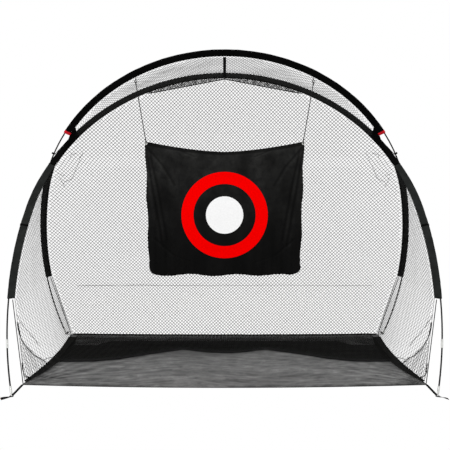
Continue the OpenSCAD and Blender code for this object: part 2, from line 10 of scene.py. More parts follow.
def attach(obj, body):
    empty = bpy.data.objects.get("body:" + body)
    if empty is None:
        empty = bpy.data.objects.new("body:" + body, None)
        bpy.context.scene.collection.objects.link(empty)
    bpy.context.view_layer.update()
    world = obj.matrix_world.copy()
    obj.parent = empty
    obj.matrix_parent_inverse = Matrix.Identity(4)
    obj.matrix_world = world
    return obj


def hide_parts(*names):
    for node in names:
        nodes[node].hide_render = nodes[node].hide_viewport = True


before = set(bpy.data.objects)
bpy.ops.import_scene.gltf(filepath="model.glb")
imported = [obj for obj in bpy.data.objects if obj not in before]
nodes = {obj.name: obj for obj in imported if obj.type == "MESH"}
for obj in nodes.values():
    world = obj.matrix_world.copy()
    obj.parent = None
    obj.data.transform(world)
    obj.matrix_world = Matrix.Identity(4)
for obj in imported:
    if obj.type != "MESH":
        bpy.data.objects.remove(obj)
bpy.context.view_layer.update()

# ---- Camera ----
# It stands 4.3 m in front of the front feet, at chest height, and looks level at the net.
# Its window is moved down, so that the net fills a square picture.
PICTURE = 450
FOCAL = 737.4
ASIDE, HORIZON = 0.4, 153.9
CAMERA_AT = (0, -5.076, 1.423)
scene = bpy.context.scene
camera_data = bpy.data.cameras.new("camera")
camera_data.sensor_width = 36
camera_data.lens = camera_data.sensor_width * FOCAL / PICTURE
camera_data.shift_x = ASIDE / PICTURE
camera_data.shift_y = (HORIZON - PICTURE / 2) / PICTURE
camera = bpy.data.objects.new("camera", camera_data)
camera.location = CAMERA_AT
camera.rotation_euler = (pi / 2, 0, 0)
scene.collection.objects.link(camera)
scene.camera = camera
scene.view_settings.view_transform = "Standard"

# ---- Hanging cords ----
# Two limp braided cords, 5.5 mm thick, that carry the target. Each is tied round the loop under
# the front arch's sleeve and to the eyelet in the target's upper corner, and hangs straight.
HANG_X, HANG_Y, HANG_Z = 0.595, -0.14058, 1.900
CORNER_X, CORNER_Z = 0.526, 1.502
CORD = 0.0055
EYE, CORNER_LOOP = 0.00575, 0.009
SIDES = {"left": -1, "right": 1}


def feed(made, inputs):
    """Sets a node's inputs, or links those whose value comes from another node."""
    for socket, value in inputs.items():
        if isinstance(value, bpy.types.NodeSocket):
            made.id_data.links.new(value, made.inputs[socket])
        else:
            made.inputs[socket].default_value = value


def adder(tree):
    """The means to add a node to a tree with its inputs set or linked."""
    def add(kind, inputs=(), **settings):
        made = tree.nodes.new(kind)
        for key, value in settings.items():
            setattr(made, key, value)
        feed(made, dict(inputs))
        return made

    return add


def node_tree(name):
    """A new material, its shader, the means to add a node, and the place on the object."""
    material = bpy.data.materials.new(name)
    material.use_nodes = True
    add = adder(material.node_tree)
    return (material, material.node_tree.nodes["Principled BSDF"], add,
            add("ShaderNodeTexCoord").outputs["Object"])


def tones(add, factor, dark, light, low=0.35, high=0.65):
    """A colour between two tones by a factor."""
    ramp = add("ShaderNodeValToRGB", {"Fac": factor})
    ramp.color_ramp.elements[0].position = low
    ramp.color_ramp.elements[1].position = high
    ramp.color_ramp.elements[0].color = (*dark, 1)
    ramp.color_ramp.elements[1].color = (*light, 1)
    return ramp.outputs["Color"]


def relief(add, height, strength, distance, under=None):
    """Bumps by a height, on top of any bumps `under` them."""
    inputs = {"Height": height, "Strength": strength, "Distance": distance}
    if under is not None:
        inputs["Normal"] = under
    return add("ShaderNodeBump", inputs).outputs["Normal"]


def braid_finish(name, dark, light, pitch):
    """Braided thread: two sets of slanting strands, whose raised tops are painted lighter as a
    painted highlight.
    """
    material, shader, add, place = node_tree(name)
    waves = []
    for slant in (0.6, -0.6):
        turned = add("ShaderNodeMapping", {"Vector": place, "Rotation": (slant, slant, 0.4)})
        waves.append(add("ShaderNodeTexWave", {
            "Vector": turned.outputs["Vector"], "Scale": 1 / pitch, "Distortion": 0.6,
            "Detail": 1.0}, bands_direction="Z").outputs["Fac"])
    strands = add("ShaderNodeMath", {0: waves[0], 1: waves[1]}, operation="MAXIMUM").outputs[0]
    # The colour is lighter where the strands stand high: a painted highlight.
    feed(shader, {
        "Base Color": tones(add, strands, dark, light, 0.3, 0.95), "Roughness": 0.7,
        "Normal": relief(add, strands, 0.5, 0.0006), "Specular IOR Level": 0.1})
    return material


cord_finish = braid_finish("braided_cord", (0.002, 0.002, 0.002), (0.010, 0.010, 0.010), 0.014)


def placed(name, data, slot, body="frame", replaced=()):
    """Mesh or curve data as a piece on its body, hiding the nodes it stands for. The slot is not
    used.
    """
    made = bpy.data.objects.new(name, data)
    scene.collection.objects.link(made)
    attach(made, body)
    for node in replaced:
        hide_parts(node)
    return made


def mesh_of(name, bm, material):
    mesh = bpy.data.meshes.new(name)
    bm.to_mesh(mesh)
    bm.free()
    mesh.materials.append(material)
    return mesh


def piece(name, bm, material, slot, body="frame", replaced=()):
    """A finished piece from its bmesh, on its body and with its finish."""
    return placed(name, mesh_of(name, bm, material), slot, body, replaced)


def outward(bm):
    """Turns every face of a closed or open skin to the same side, outward where it is closed."""
    bmesh.ops.recalc_face_normals(bm, faces=bm.faces[:])


def thread_curve(name, thick, material, fine=1):
    """A curve whose lines are drawn as round thread."""
    curve = bpy.data.curves.new(name, "CURVE")
    curve.dimensions = "3D"
    curve.bevel_depth = thick / 2
    curve.bevel_resolution = fine
    curve.use_fill_caps = True
    curve.materials.append(material)
    return curve


def add_line(curve, points):
    spline = curve.splines.new("POLY")
    spline.points.add(len(points) - 1)
    for knot, point in zip(spline.points, points):
        knot.co = (*point, 1)


def smooth(made):
    for face in made.data.polygons:
        face.use_smooth = True
    return made


def cord_ring(bm, centre, axis, radius, thick, sides=10, steps=24):
    """A closed ring of cord round an axis."""
    axis = Vector(axis).normalized()
    start = bmesh.ops.create_circle(bm, cap_ends=False, segments=sides, radius=thick / 2)
    across = axis.orthogonal().normalized()
    stand = Matrix((across, axis, across.cross(axis))).transposed().to_4x4()
    stand.translation = Vector(centre) + across * radius
    bmesh.ops.transform(bm, verts=start["verts"], matrix=stand)
    edges = list({e for v in start["verts"] for e in v.link_edges})
    bmesh.ops.spin(bm, geom=start["verts"] + edges, cent=centre, axis=axis, angle=2 * pi,
                   steps=steps, use_merge=True)


def cord_wraps(bm, place, along, thick, turns=3):
    """A small knot: turns of the cord drawn tight round itself, each lying a little askew."""
    along = Vector(along).normalized()
    askew = along.orthogonal().normalized()
    for turn in range(turns):
        lean = askew * (0.25 if turn % 2 else -0.25)
        at = Vector(place) + along * (turn - (turns - 1) / 2) * thick * 0.8
        cord_ring(bm, at, along + lean, thick * 0.62, thick * 0.95, 8, 14)


for side, sign in SIDES.items():
    top = Vector((sign * HANG_X, HANG_Y, HANG_Z))
    low = Vector((sign * CORNER_X, HANG_Y, CORNER_Z))
    down = (low - top).normalized()
    start, end = top + down * (EYE + 0.0018), low - down * (CORNER_LOOP + 0.0018)
    curve = thread_curve(f"hanging_cord_{side}", CORD, cord_finish, 3)
    add_line(curve, [start.lerp(end, i / 23) for i in range(24)])
    cord = placed(f"hanging_cord_{side}", curve, "cord_black", "hanging_cords",
                  [f"target_cord_{side}"])
    bm = bmesh.new()
    cord_ring(bm, top, (1, 0, 0), EYE, CORD)
    cord_wraps(bm, top + down * (EYE + 0.0065), down, CORD * 0.8)
    cord_ring(bm, low, (1, 0, 0), CORNER_LOOP, CORD)
    cord_wraps(bm, low - down * (CORNER_LOOP + 0.0065), down, CORD * 0.8)
    outward(bm)
    loops = smooth(piece(f"hanging_loops_{side}", bm, cord_finish, "cord_black",
                         "hanging_cords"))
    tuple(start)

# ---- Floor and light ----
# A plain white studio: a pale floor, white all round, soft light from above and in front.
# The object is lit at a level at which a colour shows about as it is written.
def direct_rays(add):
    """1 for rays that come straight from the camera, off a mirror or through glass, else 0."""
    rays = add("ShaderNodeLightPath").outputs
    either = add("ShaderNodeMath", {0: rays["Is Camera Ray"], 1: rays["Is Glossy Ray"]},
                 operation="MAXIMUM")
    return add("ShaderNodeMath", {0: either.outputs[0], 1: rays["Is Transmission Ray"]},
               operation="MAXIMUM").outputs[0]


def grid(columns, rows, size=1):
    """A flat grid of faces that reaches `size` each way from the middle."""
    bm = bmesh.new()
    bmesh.ops.create_grid(bm, x_segments=columns, y_segments=rows, size=size)
    return bm


material, shader, add = node_tree("studio_floor")[:3]
feed(shader, {"Base Color": (0.82, 0.82, 0.82, 1), "Roughness": 0.9})
glow = add("ShaderNodeEmission", {"Color": (1, 1, 1, 1), "Strength": 1.0})
mixed = add("ShaderNodeMixShader", {
    0: direct_rays(add), 1: shader.outputs["BSDF"], 2: glow.outputs["Emission"]})
feed(material.node_tree.nodes["Material Output"], {"Surface": mixed.outputs["Shader"]})
studio = bpy.data.objects.new("studio_floor", mesh_of("studio_floor", grid(4, 4, 30), material))
studio.location = (0, 0, -0.001)
scene.collection.objects.link(studio)

world = bpy.data.worlds.new("studio")
scene.world = world
world.use_nodes = True
sky = world.node_tree.nodes
feed(sky["Background"], {"Color": (1, 1, 1, 1), "Strength": 0.55})
add = adder(world.node_tree)
white = add("ShaderNodeBackground", {"Color": (1, 1, 1, 1), "Strength": 1.0})
choice = add("ShaderNodeMixShader", {
    0: direct_rays(add), 1: sky["Background"].outputs[0], 2: white.outputs[0]})
feed(sky["World Output"], {"Surface": choice.outputs[0]})

for name, place, size, power in (
        ("lamp_over", (0.6, -1.2, 5.2), 3.6, 120), ("lamp_front", (-2.6, -5.0, 3.4), 2.4, 90)):
    lamp = bpy.data.lights.new(name, "AREA")
    lamp.size = size
    lamp.energy = power
    holder = bpy.data.objects.new(name, lamp)
    holder.location = place
    holder.rotation_euler = (Vector((0, 0, 0.8)) - Vector(place)).to_track_quat(
        "-Z", "Y").to_euler()
    scene.collection.objects.link(holder)

# ---- Rods ----
# Fibreglass rods 9.5 mm thick in sections, smooth and black. The hoop that makes the front arch
# has its feet at the rear and leans forward; the other has its feet in front and leans back.
def between(add, factor, low, high, start=0.3, end=0.7):
    """A value from `low` to `high` while a factor goes from `start` to `end`."""
    return add("ShaderNodeMapRange", {
        "Value": factor, "From Min": start, "From Max": end, "To Min": low,
        "To Max": high}).outputs["Result"]


def dress(names, material):
    """Gives solids from the frame their finish."""
    for name in names:
        nodes[name].data.materials.clear()
        nodes[name].data.materials.append(material)


material, shader, add, place = node_tree("fibreglass")
streaks = add("ShaderNodeTexNoise", {
    "Vector": place, "Scale": 260.0, "Detail": 3.0, "Roughness": 0.6}).outputs["Fac"]
rub = add("ShaderNodeTexNoise", {"Vector": place, "Scale": 14.0, "Detail": 4.0})
feed(shader, {
    "Base Color": tones(add, streaks, (0.006, 0.006, 0.006), (0.016, 0.016, 0.016)),
    "Roughness": between(add, rub.outputs["Fac"], 0.5, 0.68, 0.35),
    "Normal": relief(add, streaks, 0.15, 0.0002), "Specular IOR Level": 0.05})
dress([name for name in nodes if "rod" in name.split("_")], material)

# ---- Ferrules and foot tips ----
# Drawn metal tubes over the joints between the sections, and a closed tube with a pin on each
# foot. They are dull silver, with fine rings from drawing and a patchy sheen, and so are the two
# eyelets of the target.
material, shader, add, place = node_tree("drawn_metal")
rings = add("ShaderNodeTexWave", {
    "Vector": place, "Scale": 420.0, "Distortion": 3.0, "Detail": 2.0}, bands_direction="Z")
cloud = add("ShaderNodeTexNoise", {"Vector": place, "Scale": 60.0, "Detail": 5.0}).outputs["Fac"]
feed(shader, {
    "Base Color": tones(add, cloud, (0.42, 0.43, 0.42), (0.62, 0.62, 0.60), 0.3, 0.7),
    "Roughness": between(add, cloud, 0.28, 0.5),
    "Normal": relief(add, rings.outputs["Fac"], 0.25, 0.0002), "Metallic": 1.0})
dress(("front_arch_ferrules", "rear_arch_ferrules", "front_foot_tips", "rear_foot_tips",
       "target_eyelets"), material)

# ---- Rod sleeves ----
# Tubes of woven nylon sewn to the nets' edges, 46 mm wide laid flat, that the rods slide through.
# They lie round the rod and narrow to a flat seam on the side where the net is sewn in.
ARCH_R, LEG_R = 1.332, 2.590
ARCH_TURN, FOOT_TURN = radians(78.75), radians(106.5)
FEET_Y = 0.75
FOOT_Z = 0.0018
FRONT_LEAN, REAR_LEAN = radians(24.7), radians(29.5)
ARCH_UP = (LEG_R - ARCH_R) * cos(ARCH_TURN) - LEG_R * cos(FOOT_TURN)
LEG_OUT = (ARCH_R - LEG_R) * sin(ARCH_TURN)
LEG_UP = ARCH_UP + (ARCH_R - LEG_R) * cos(ARCH_TURN)
LEG_TOP = ARCH_UP + ARCH_R * cos(ARCH_TURN)


def turn_at(height):
    """Turn from the apex at a height up the slope of a hoop."""
    if height > LEG_TOP:
        return acos((height - ARCH_UP) / ARCH_R)
    return acos((height - LEG_UP) / LEG_R)


def hoop_point(turn, out=0.0):
    """Place across and up the slope at a turn, `out` beyond the middle of the rod."""
    if turn < ARCH_TURN:
        return (ARCH_R + out) * sin(turn), ARCH_UP + (ARCH_R + out) * cos(turn)
    return LEG_OUT + (LEG_R + out) * sin(turn), LEG_UP + (LEG_R + out) * cos(turn)


FRONT_STAND = Matrix((
    (1, 0, 0, 0), (0, -sin(FRONT_LEAN), cos(FRONT_LEAN), FEET_Y),
    (0, cos(FRONT_LEAN), sin(FRONT_LEAN), FOOT_Z), (0, 0, 0, 1)))
REAR_STAND = Matrix((
    (1, 0, 0, 0), (0, sin(REAR_LEAN), cos(REAR_LEAN), -FEET_Y),
    (0, cos(REAR_LEAN), -sin(REAR_LEAN), FOOT_Z), (0, 0, 0, 1)))


def on_hoop(stand, turn, out=0.0, back=0.0):
    """A point by a hoop that stands, `back` behind the plane of the hoop."""
    across, up = hoop_point(abs(turn), out)
    return stand @ Vector((across if turn >= 0 else -across, up, back))


def cloth_finish(name, dark, light, weave=0.004, gloss=0.7, sheen=0.01, depth=0.00025,
                 shine=0.05, scale=22.0):
    """Plain-woven nylon: crossing threads, soft creases with painted shade in their hollows and
    painted light on their tops, and a patchy sheen.
    """
    material, shader, add, place = node_tree(name)
    threads = [add("ShaderNodeTexWave", {
        "Vector": place, "Scale": 0.31 / weave, "Distortion": 0.8, "Detail": 1.0,
        "Detail Scale": 2.0}, bands_direction=direction).outputs["Fac"] for direction in "XZ"]
    woven = add("ShaderNodeMath", {0: threads[0], 1: threads[1]}, operation="MULTIPLY")
    creases = add("ShaderNodeTexNoise", {
        "Vector": place, "Scale": scale, "Detail": 6.0, "Roughness": 0.65,
        "Distortion": 0.4}).outputs["Fac"]
    # The colour follows the creases' bumps: painted shade in the hollows, painted light on the
    # tops.
    feed(shader, {
        "Base Color": tones(add, creases, dark, light, 0.3, 0.72),
        "Roughness": between(add, creases, gloss - 0.1, gloss + 0.12),
        "Normal": relief(add, woven.outputs[0], 0.5, depth, relief(add, creases, 0.35, 0.002)),
        "Sheen Weight": sheen, "Sheen Roughness": 0.4, "Specular IOR Level": shine})
    return material


SLEEVE_WIDE = 0.046
SLEEVE_ROUND, SLEEVE_SEAM = 0.009, 0.0015
NET_EDGE = -(SLEEVE_WIDE - SLEEVE_ROUND) - 0.0004


def sleeve_outline(bm, grow):
    """The sleeve's outline: round over the rod, narrowing to the seam. x is outward."""
    big, small = SLEEVE_ROUND + grow, SLEEVE_SEAM + grow
    far = SLEEVE_WIDE - SLEEVE_ROUND - SLEEVE_SEAM
    meet = pi / 2 + asin((big - small) / far)

    def over_rod(turn):
        return np.array((big * cos(turn), big * sin(turn)))

    def at_seam(turn):
        return np.array((-far + small * cos(turn), small * sin(turn)))

    def flank(turn, shares):
        return [over_rod(turn) * (1 - share) + at_seam(turn) * share for share in shares]

    ring = [over_rod(meet * (i / 8 - 1)) for i in range(17)]
    ring += flank(meet, (0.25, 0.5, 0.75))
    ring += [at_seam(meet + (pi - meet) * i / 2) for i in range(5)]
    ring += flank(-meet, (0.75, 0.5, 0.25))
    return [bm.verts.new((x, 0, y)) for x, y in ring]


def sweep(bm, verts, start, end, step=0.011):
    """Carries an outline along a hoop that lies flat, from one turn to another."""
    edges = [bm.edges.new((a, b)) for a, b in zip(verts, verts[1:] + verts[:1])]
    across, up = hoop_point(abs(start))
    side = 1 if start >= 0 else -1
    bmesh.ops.transform(bm, verts=verts, matrix=Matrix.Translation(
        (side * across, up, 0)) @ Matrix.Rotation(pi / 2 - start, 4, "Z"))
    parts = [(start, end, (0, ARCH_UP, 0), ARCH_R)]
    if start < ARCH_TURN < end:
        parts = [(start, ARCH_TURN, (0, ARCH_UP, 0), ARCH_R),
                 (ARCH_TURN, end, (LEG_OUT, LEG_UP, 0), LEG_R)]
    geom = verts + edges
    for low, high, centre, radius in parts:
        made = bmesh.ops.spin(bm, geom=geom, cent=centre, axis=(0, 0, -1), angle=high - low,
                              steps=max(2, ceil((high - low) * radius / step)))
        geom = made["geom_last"]
    bmesh.ops.remove_doubles(bm, verts=bm.verts[:], dist=1e-6)


def give_wall(made, thickness, offset=0):
    """Gives a skin its thickness: on both sides of it, or inward with an offset of -1."""
    wall = made.modifiers.new("wall", "SOLIDIFY")
    wall.thickness = thickness
    wall.offset = offset


def rough(x, y, z):
    """A smooth random value from -1 to 1 at a place, the same on each run."""
    return noise.noise(Vector((x, y, z)))


def sleeve(name, stand, start, end, material, slot, replaced, grow=0.0, crease=0.0013,
           mirrored=False, wall=0.0007, full=None):
    """A sewn tube along part of a hoop, with the small creases of cloth drawn over a rod. `full`
    gives how far it stands out from the rod and the two turns between which it does."""
    bm = bmesh.new()
    sweep(bm, sleeve_outline(bm, grow), start, end)
    loose = bm.verts.layers.float.new("loose")
    for v in bm.verts:
        centre, radius = Vector((0, ARCH_UP, 0)), ARCH_R
        turn = atan2(v.co.x, v.co.y - ARCH_UP)
        if abs(turn) > ARCH_TURN:
            centre, radius = Vector((LEG_OUT, LEG_UP, 0)), LEG_R
            turn = atan2(v.co.x - LEG_OUT, v.co.y - LEG_UP)
        away = Vector((v.co.x, v.co.y, 0)) - centre
        v[loose] = min(1, max(0.1, (away.length - radius - NET_EDGE - 0.010) / 0.012))
        if full:
            share = min(1, max(0, (turn - full[1]) / (full[2] - full[1])))
            v.co += away.normalized() * full[0] * v[loose] * sin(pi * share)
    bmesh.ops.transform(bm, verts=bm.verts[:], matrix=stand)
    if mirrored:
        bmesh.ops.scale(bm, vec=(-1, 1, 1), verts=bm.verts[:])
    outward(bm)
    bm.normal_update()
    for v in bm.verts:
        p = v.co
        wave = rough(p.x * 14, p.y * 26, p.z * 26)
        ripple = rough(p.x * 60 + 7, p.y * 60 + 3, p.z * 60 + 1)
        v.co = p + v.normal * crease * v[loose] * (0.75 * wave + 0.35 * ripple)
    give_wall(smooth(piece(name, bm, material, slot, replaced=replaced)), wall, -1)


def stitches(name, places, material, slot, body="frame", size=(0.0036, 0.0006, 0.0006)):
    """A row of stitches: at each place a short thread that lies along a direction."""
    bm = bmesh.new()
    for at, along, normal in places:
        across = along.cross(normal).normalized()
        turn = Matrix((along.normalized(), across, normal.normalized())).transposed().to_4x4()
        bmesh.ops.create_icosphere(bm, subdivisions=1, radius=0.5, matrix=Matrix.Translation(at)
                                   @ turn @ Matrix.Diagonal((*size, 1)))
    return smooth(piece(name, bm, material, slot, body))


def seam_rows(stand, start, end, sign=1, pitch=0.009):
    """Places for stitches along a sleeve's seam, on both its faces."""
    count = int((end - start) * ARCH_R / pitch)
    normal = stand.to_3x3() @ Vector((0, 0, 1))
    places = []
    for i in range(count):
        turn = start + (end - start) * (i + 0.5) / count
        at, ahead = (on_hoop(stand, t, NET_EDGE + 0.007) for t in (turn, turn + 0.002))
        for face in (-1, 1):
            p, q = at + normal * face * 0.0028, ahead + normal * face * 0.0028
            if sign < 0:
                p.x, q.x = -p.x, -q.x
            places.append((p, q - p, normal * face))
    return places


black_nylon = cloth_finish("black_nylon", (0.0006, 0.0006, 0.0006), (0.0035, 0.0035, 0.0034),
                           0.003, shine=0.02)
slate_nylon = cloth_finish("slate_nylon", (0.001, 0.0011, 0.001), (0.0055, 0.006, 0.0056), 0.003)
grey_nylon = cloth_finish("grey_nylon", (0.008, 0.0088, 0.0082), (0.021, 0.0228, 0.0216), 0.003)
seam_thread = braid_finish("seam_thread", (0.008, 0.008, 0.008), (0.03, 0.03, 0.03), 0.003)
MOUTH = turn_at(1.727)
CUFF = radians(52.3)
CUFF_END = turn_at(1.556)
REAR_LEG = (turn_at(1.490), turn_at(0.540))
FRONT_LEG = (turn_at(1.552), turn_at(0.593))
LEG_FULL = 0.008
sleeve("arch_sleeve_front", FRONT_STAND, -MOUTH, MOUTH, black_nylon, "sleeve_black",
       ["front_arch_sleeve"])
sleeve("arch_sleeve_rear", REAR_STAND, -CUFF, CUFF, slate_nylon, "sleeve_black",
       ["rear_arch_sleeve"])
stitches("arch_stitching_front", seam_rows(FRONT_STAND, -MOUTH, MOUTH), seam_thread,
         "sleeve_black")
stitches("arch_stitching_rear", seam_rows(REAR_STAND, -CUFF, CUFF), seam_thread, "sleeve_black")
for side, sign in SIDES.items():
    sleeve(f"rear_leg_sleeve_{side}", FRONT_STAND, *REAR_LEG, black_nylon,
           "sleeve_black", [f"front_arch_side_sleeve_{side}"], mirrored=sign < 0)
    sleeve(f"front_leg_sleeve_{side}", REAR_STAND, *FRONT_LEG, grey_nylon,
           "side_sleeve_grey", [f"rear_arch_side_sleeve_{side}"], mirrored=sign < 0,
           full=(LEG_FULL, *FRONT_LEG))
    sleeve(f"rear_cuff_{side}", REAR_STAND, CUFF - 0.01, CUFF_END, black_nylon, "sleeve_black",
           [], grow=0.0005, mirrored=sign < 0)
    sleeve(f"leg_band_{side}", REAR_STAND, turn_at(1.100), turn_at(1.076), black_nylon,
           "sleeve_black", [], grow=0.0028, crease=0.0008, mirrored=sign < 0,
           full=(LEG_FULL, *FRONT_LEG))
    stitches(f"leg_stitching_{side}", seam_rows(FRONT_STAND, *REAR_LEG, sign)
             + seam_rows(REAR_STAND, *FRONT_LEG, sign), seam_thread, "sleeve_black")

# ---- Sleeve bindings ----
# A red tape 20 mm wide, folded over the raw edge at each mouth of the front arch's sleeve and
# sewn down. It is the only coloured part of the frame.
red_tape = cloth_finish("red_tape", (0.50, 0.006, 0.012), (0.74, 0.015, 0.028), 0.002)
for side, sign in SIDES.items():
    sleeve(f"mouth_binding_{side}", FRONT_STAND, MOUTH - 0.020 / ARCH_R, MOUTH + 0.0012 / ARCH_R,
           red_tape, "binding_red", [f"sleeve_binding_{side}"], grow=0.0014, crease=0.0004,
           mirrored=sign < 0, wall=0.0009)

# ---- Crossing ties ----
# Where the hoops pass each other, a cord goes round the bare rod in three turns, is knotted on the
# outside and sewn by its two ends to the rear arch's sleeve.
TIE = 0.005
TIE_AT = turn_at(1.566)


def route_at(points, share):
    """The place and direction at a share of the way along a route."""
    spans = [(b - a).length for a, b in zip(points, points[1:])]
    reach = share * sum(spans)
    for a, b, span in zip(points, points[1:], spans):
        if reach <= span or b is points[-1]:
            return a.lerp(b, min(1, reach / span)), (b - a).normalized()
        reach -= span


def route_length(points):
    return sum((b - a).length for a, b in zip(points, points[1:]))


def rope(name, points, thick, material, slot, replaced, body="frame", pitch=3.6):
    """A laid rope along a route: three strands that turn round each other."""
    points = [Vector(p) for p in points]
    steps = int(route_length(points) / (thick * pitch) * 8)
    curve = thread_curve(name, thick * 0.54, material)
    for strand in range(3):
        line = []
        for i in range(steps + 1):
            at, along = route_at(points, i / steps)
            across = along.cross(Vector((0.3, 0.2, 1))).normalized()
            turn = 2 * pi * (i / 8 + strand / 3)
            line.append(at + (across * cos(turn) + along.cross(across) * sin(turn)) * thick * 0.23)
        add_line(curve, line)
    return placed(name, curve, slot, body, replaced)


for side, sign in SIDES.items():
    mirror = Vector((sign, 1, 1))
    rod = on_hoop(FRONT_STAND, TIE_AT) * mirror
    along = (on_hoop(FRONT_STAND, TIE_AT + 0.01) * mirror - rod).normalized()
    knot = on_hoop(FRONT_STAND, TIE_AT, 0.0107) * mirror
    out = (knot - rod).normalized()
    bm = bmesh.new()
    for turn in (-1, 0, 1):
        cord_ring(bm, rod + along * turn * TIE * 0.55, along + out * 0.12 * turn, 0.0073,
                  TIE * 0.62, 8, 22)
    cord_wraps(bm, knot, along, TIE * 0.95)
    cord_wraps(bm, knot + out * 0.001, out.cross(along), TIE * 0.8, 2)
    outward(bm)
    smooth(piece(f"tie_knot_{side}", bm, cord_finish, "cord_black",
                 replaced=[f"crossing_tie_{side}"]))
    for name, height in (("upper", 1.690), ("lower", 1.664)):
        end = on_hoop(REAR_STAND, turn_at(height), 0.0098) * mirror
        rope(f"tie_strand_{name}_{side}", [rod - out * 0.0075, end], TIE * 0.8, cord_finish,
             "cord_black", [])

# ---- Crossing gussets ----
# A piece of black cloth on each side that fills the corner between the two arches, from the end
# of the roof net down to the mouth of the front arch's sleeve.
GUSSET_TOP, GUSSET_END, GUSSET_HELD = radians(52.7), radians(60.5), radians(56.4)
NET_GAP = 0.0016
for side, sign in SIDES.items():
    bm = grid(34, 24)
    for v in bm.verts:
        turn = GUSSET_TOP + (GUSSET_END - GUSSET_TOP) * (v.co.x + 1) / 2
        share = (v.co.y + 1) / 2
        rear = on_hoop(REAR_STAND, turn, NET_EDGE, -NET_GAP)
        front = on_hoop(FRONT_STAND, min(turn, GUSSET_HELD), NET_EDGE, NET_GAP)
        at = rear.lerp(front, share)
        hang = 4 * share * (1 - share)
        crease = rough(at.x * 9, at.y * 30, at.z * 9)
        at -= Vector((0.5, 0, 1)) * hang * (0.003 + 0.004 * crease)
        v.co = (at.x * sign, at.y, at.z)
    outward(bm)
    give_wall(smooth(piece(f"gusset_{side}", bm, black_nylon, "gusset_black",
                           replaced=[f"crossing_gusset_{side}"])), 0.001)

# ---- Nets ----
# Knotless netting of black nylon thread in diamond mesh, hung slack between the sleeves: a roof
# between the arches, a back from the rear arch to the floor, and a side on each hand.
MESH = 0.0255
ROOF_MESH, SIDE_MESH = (0.036, MESH), (0.042, 0.026)
THREAD = 0.0029
BACK_THREAD, SIDE_THREAD, OVERLAP_THREAD = 0.0044, 0.0023, 0.0045
thread_finish = braid_finish("net_thread", (0.002, 0.002, 0.002), (0.012, 0.012, 0.011), 0.02)


def diamond_net(names, along, low, high, place, replaced=(), mesh=(MESH, MESH), thread=THREAD):
    """Netting cut to the shape between two edges, in one piece for each name. `low` and `high`
    give the edges at each distance along it, and `place` puts a point of the net where it
    hangs."""
    start, end = along
    steps = np.linspace(start, end, 400)
    lows, highs = [low(s) for s in steps], [high(s) for s in steps]
    left, right = min(lows), max(highs)
    rim = [(d, s) for s, a, b in zip(steps, lows, highs) for d in (a, b)]
    for s, a, b in ((start, lows[0], highs[0]), (end, lows[-1], highs[-1])):
        rim += [(d, s) for d in np.linspace(a, b, max(2, int(abs(b - a) / 0.004)))]
    tree = KDTree(len(rim))
    for i, (d, s) in enumerate(rim):
        tree.insert((d, s, 0), i)
    tree.balance()
    across, deep = mesh
    fine = min(mesh)
    columns, rows = ceil((right - left) / across) + 1, ceil((end - start) / deep) + 1
    bm = grid(columns, rows, 0.5)
    bmesh.ops.scale(bm, vec=(columns * across, rows * deep, 1), verts=bm.verts[:])
    bmesh.ops.translate(bm, vec=((left + right) / 2, (start + end) / 2, 0), verts=bm.verts[:])
    straight = [e for e in bm.edges if len(e.link_faces) == 2]
    bmesh.ops.poke(bm, faces=bm.faces[:])
    bmesh.ops.dissolve_edges(bm, edges=straight, use_verts=False)
    outside = []
    for v in bm.verts:
        inside = start <= v.co.y <= end and low(v.co.y) <= v.co.x <= high(v.co.y)
        if not inside and tree.find(v.co)[2] > fine * 0.45:
            outside.append(v)
    bmesh.ops.delete(bm, geom=outside, context="VERTS")
    bmesh.ops.delete(bm, geom=[v for v in bm.verts if not v.link_faces], context="VERTS")
    for v in bm.verts:
        if v.is_boundary:
            v.co = tree.find(v.co)[0]
    bmesh.ops.remove_doubles(bm, verts=bm.verts[:], dist=fine * 0.12)
    bmesh.ops.dissolve_degenerate(bm, edges=bm.edges[:], dist=fine * 0.05)
    rows = [(f.calc_center_median().y - start) / (end - start) for f in bm.faces]
    for v in bm.verts:
        v.co = place(v.co.x, v.co.y)
    bm.normal_update()
    for part, name in enumerate(names):
        own = bm.copy()
        own_row = [min(len(names) - 1, int(row * len(names))) == part for row in rows]
        bmesh.ops.delete(own, context="FACES", geom=[
            f for f, mine in zip(own.faces, own_row) if not mine])
        bmesh.ops.wireframe(own, faces=own.faces[:], thickness=thread, offset=0,
                            use_replace=True, use_boundary=True, use_even_offset=False)
        outward(own)
        piece(name, own, thread_finish, "netting_black", replaced=replaced if part == 0 else ())
    bm.free()


def slack(x, y, z, size, depth):
    """How far slack netting bellies out of its plane at a place."""
    return depth * noise.noise(Vector((x, y, z)) / size)


ROOF_TURN = radians(52.6)


def roof_ends(s):
    turn = s / ARCH_R
    return (on_hoop(REAR_STAND, turn, NET_EDGE, -NET_GAP),
            on_hoop(FRONT_STAND, turn, NET_EDGE, NET_GAP))


def roof_half(s):
    rear, front = roof_ends(s)
    return (front - rear).length / 2


def roof_place(d, s):
    rear, front = roof_ends(s)
    share = min(1, max(0, (d / ((front - rear).length / 2) + 1) / 2))
    at = rear.lerp(front, share)
    hang = 4 * share * (1 - share)
    return at + Vector((0, 0, hang * (-0.008 + slack(at.x, at.y, at.z, 0.21, 0.010))))


roof_span = (-ROOF_TURN * ARCH_R, ROOF_TURN * ARCH_R)
diamond_net(["net_roof"], roof_span, lambda s: -roof_half(s), roof_half, roof_place, ["roof_net"],
            mesh=ROOF_MESH)

FLOOR_FRONT_X, FLOOR_REAR_X = 1.252, 1.215
FLOOR_FRONT_Y, FLOOR_REAR_Y = -0.536, 0.742
NET_FOOT = 0.004


def edge_table(points):
    """An edge as columns of height, x and y, from the lowest point up."""
    return np.array([(p.z, p.x, p.y) for p in points])[::-1].T


def edge_at(edge, z):
    """Where an edge is at a height, as x and y."""
    return tuple(float(np.interp(z, edge[0], axis)) for axis in edge[1:])


def arc_points(stand, start, end, back, count=60):
    return [on_hoop(stand, start + (end - start) * i / count, NET_EDGE, back)
            for i in range(count + 1)]


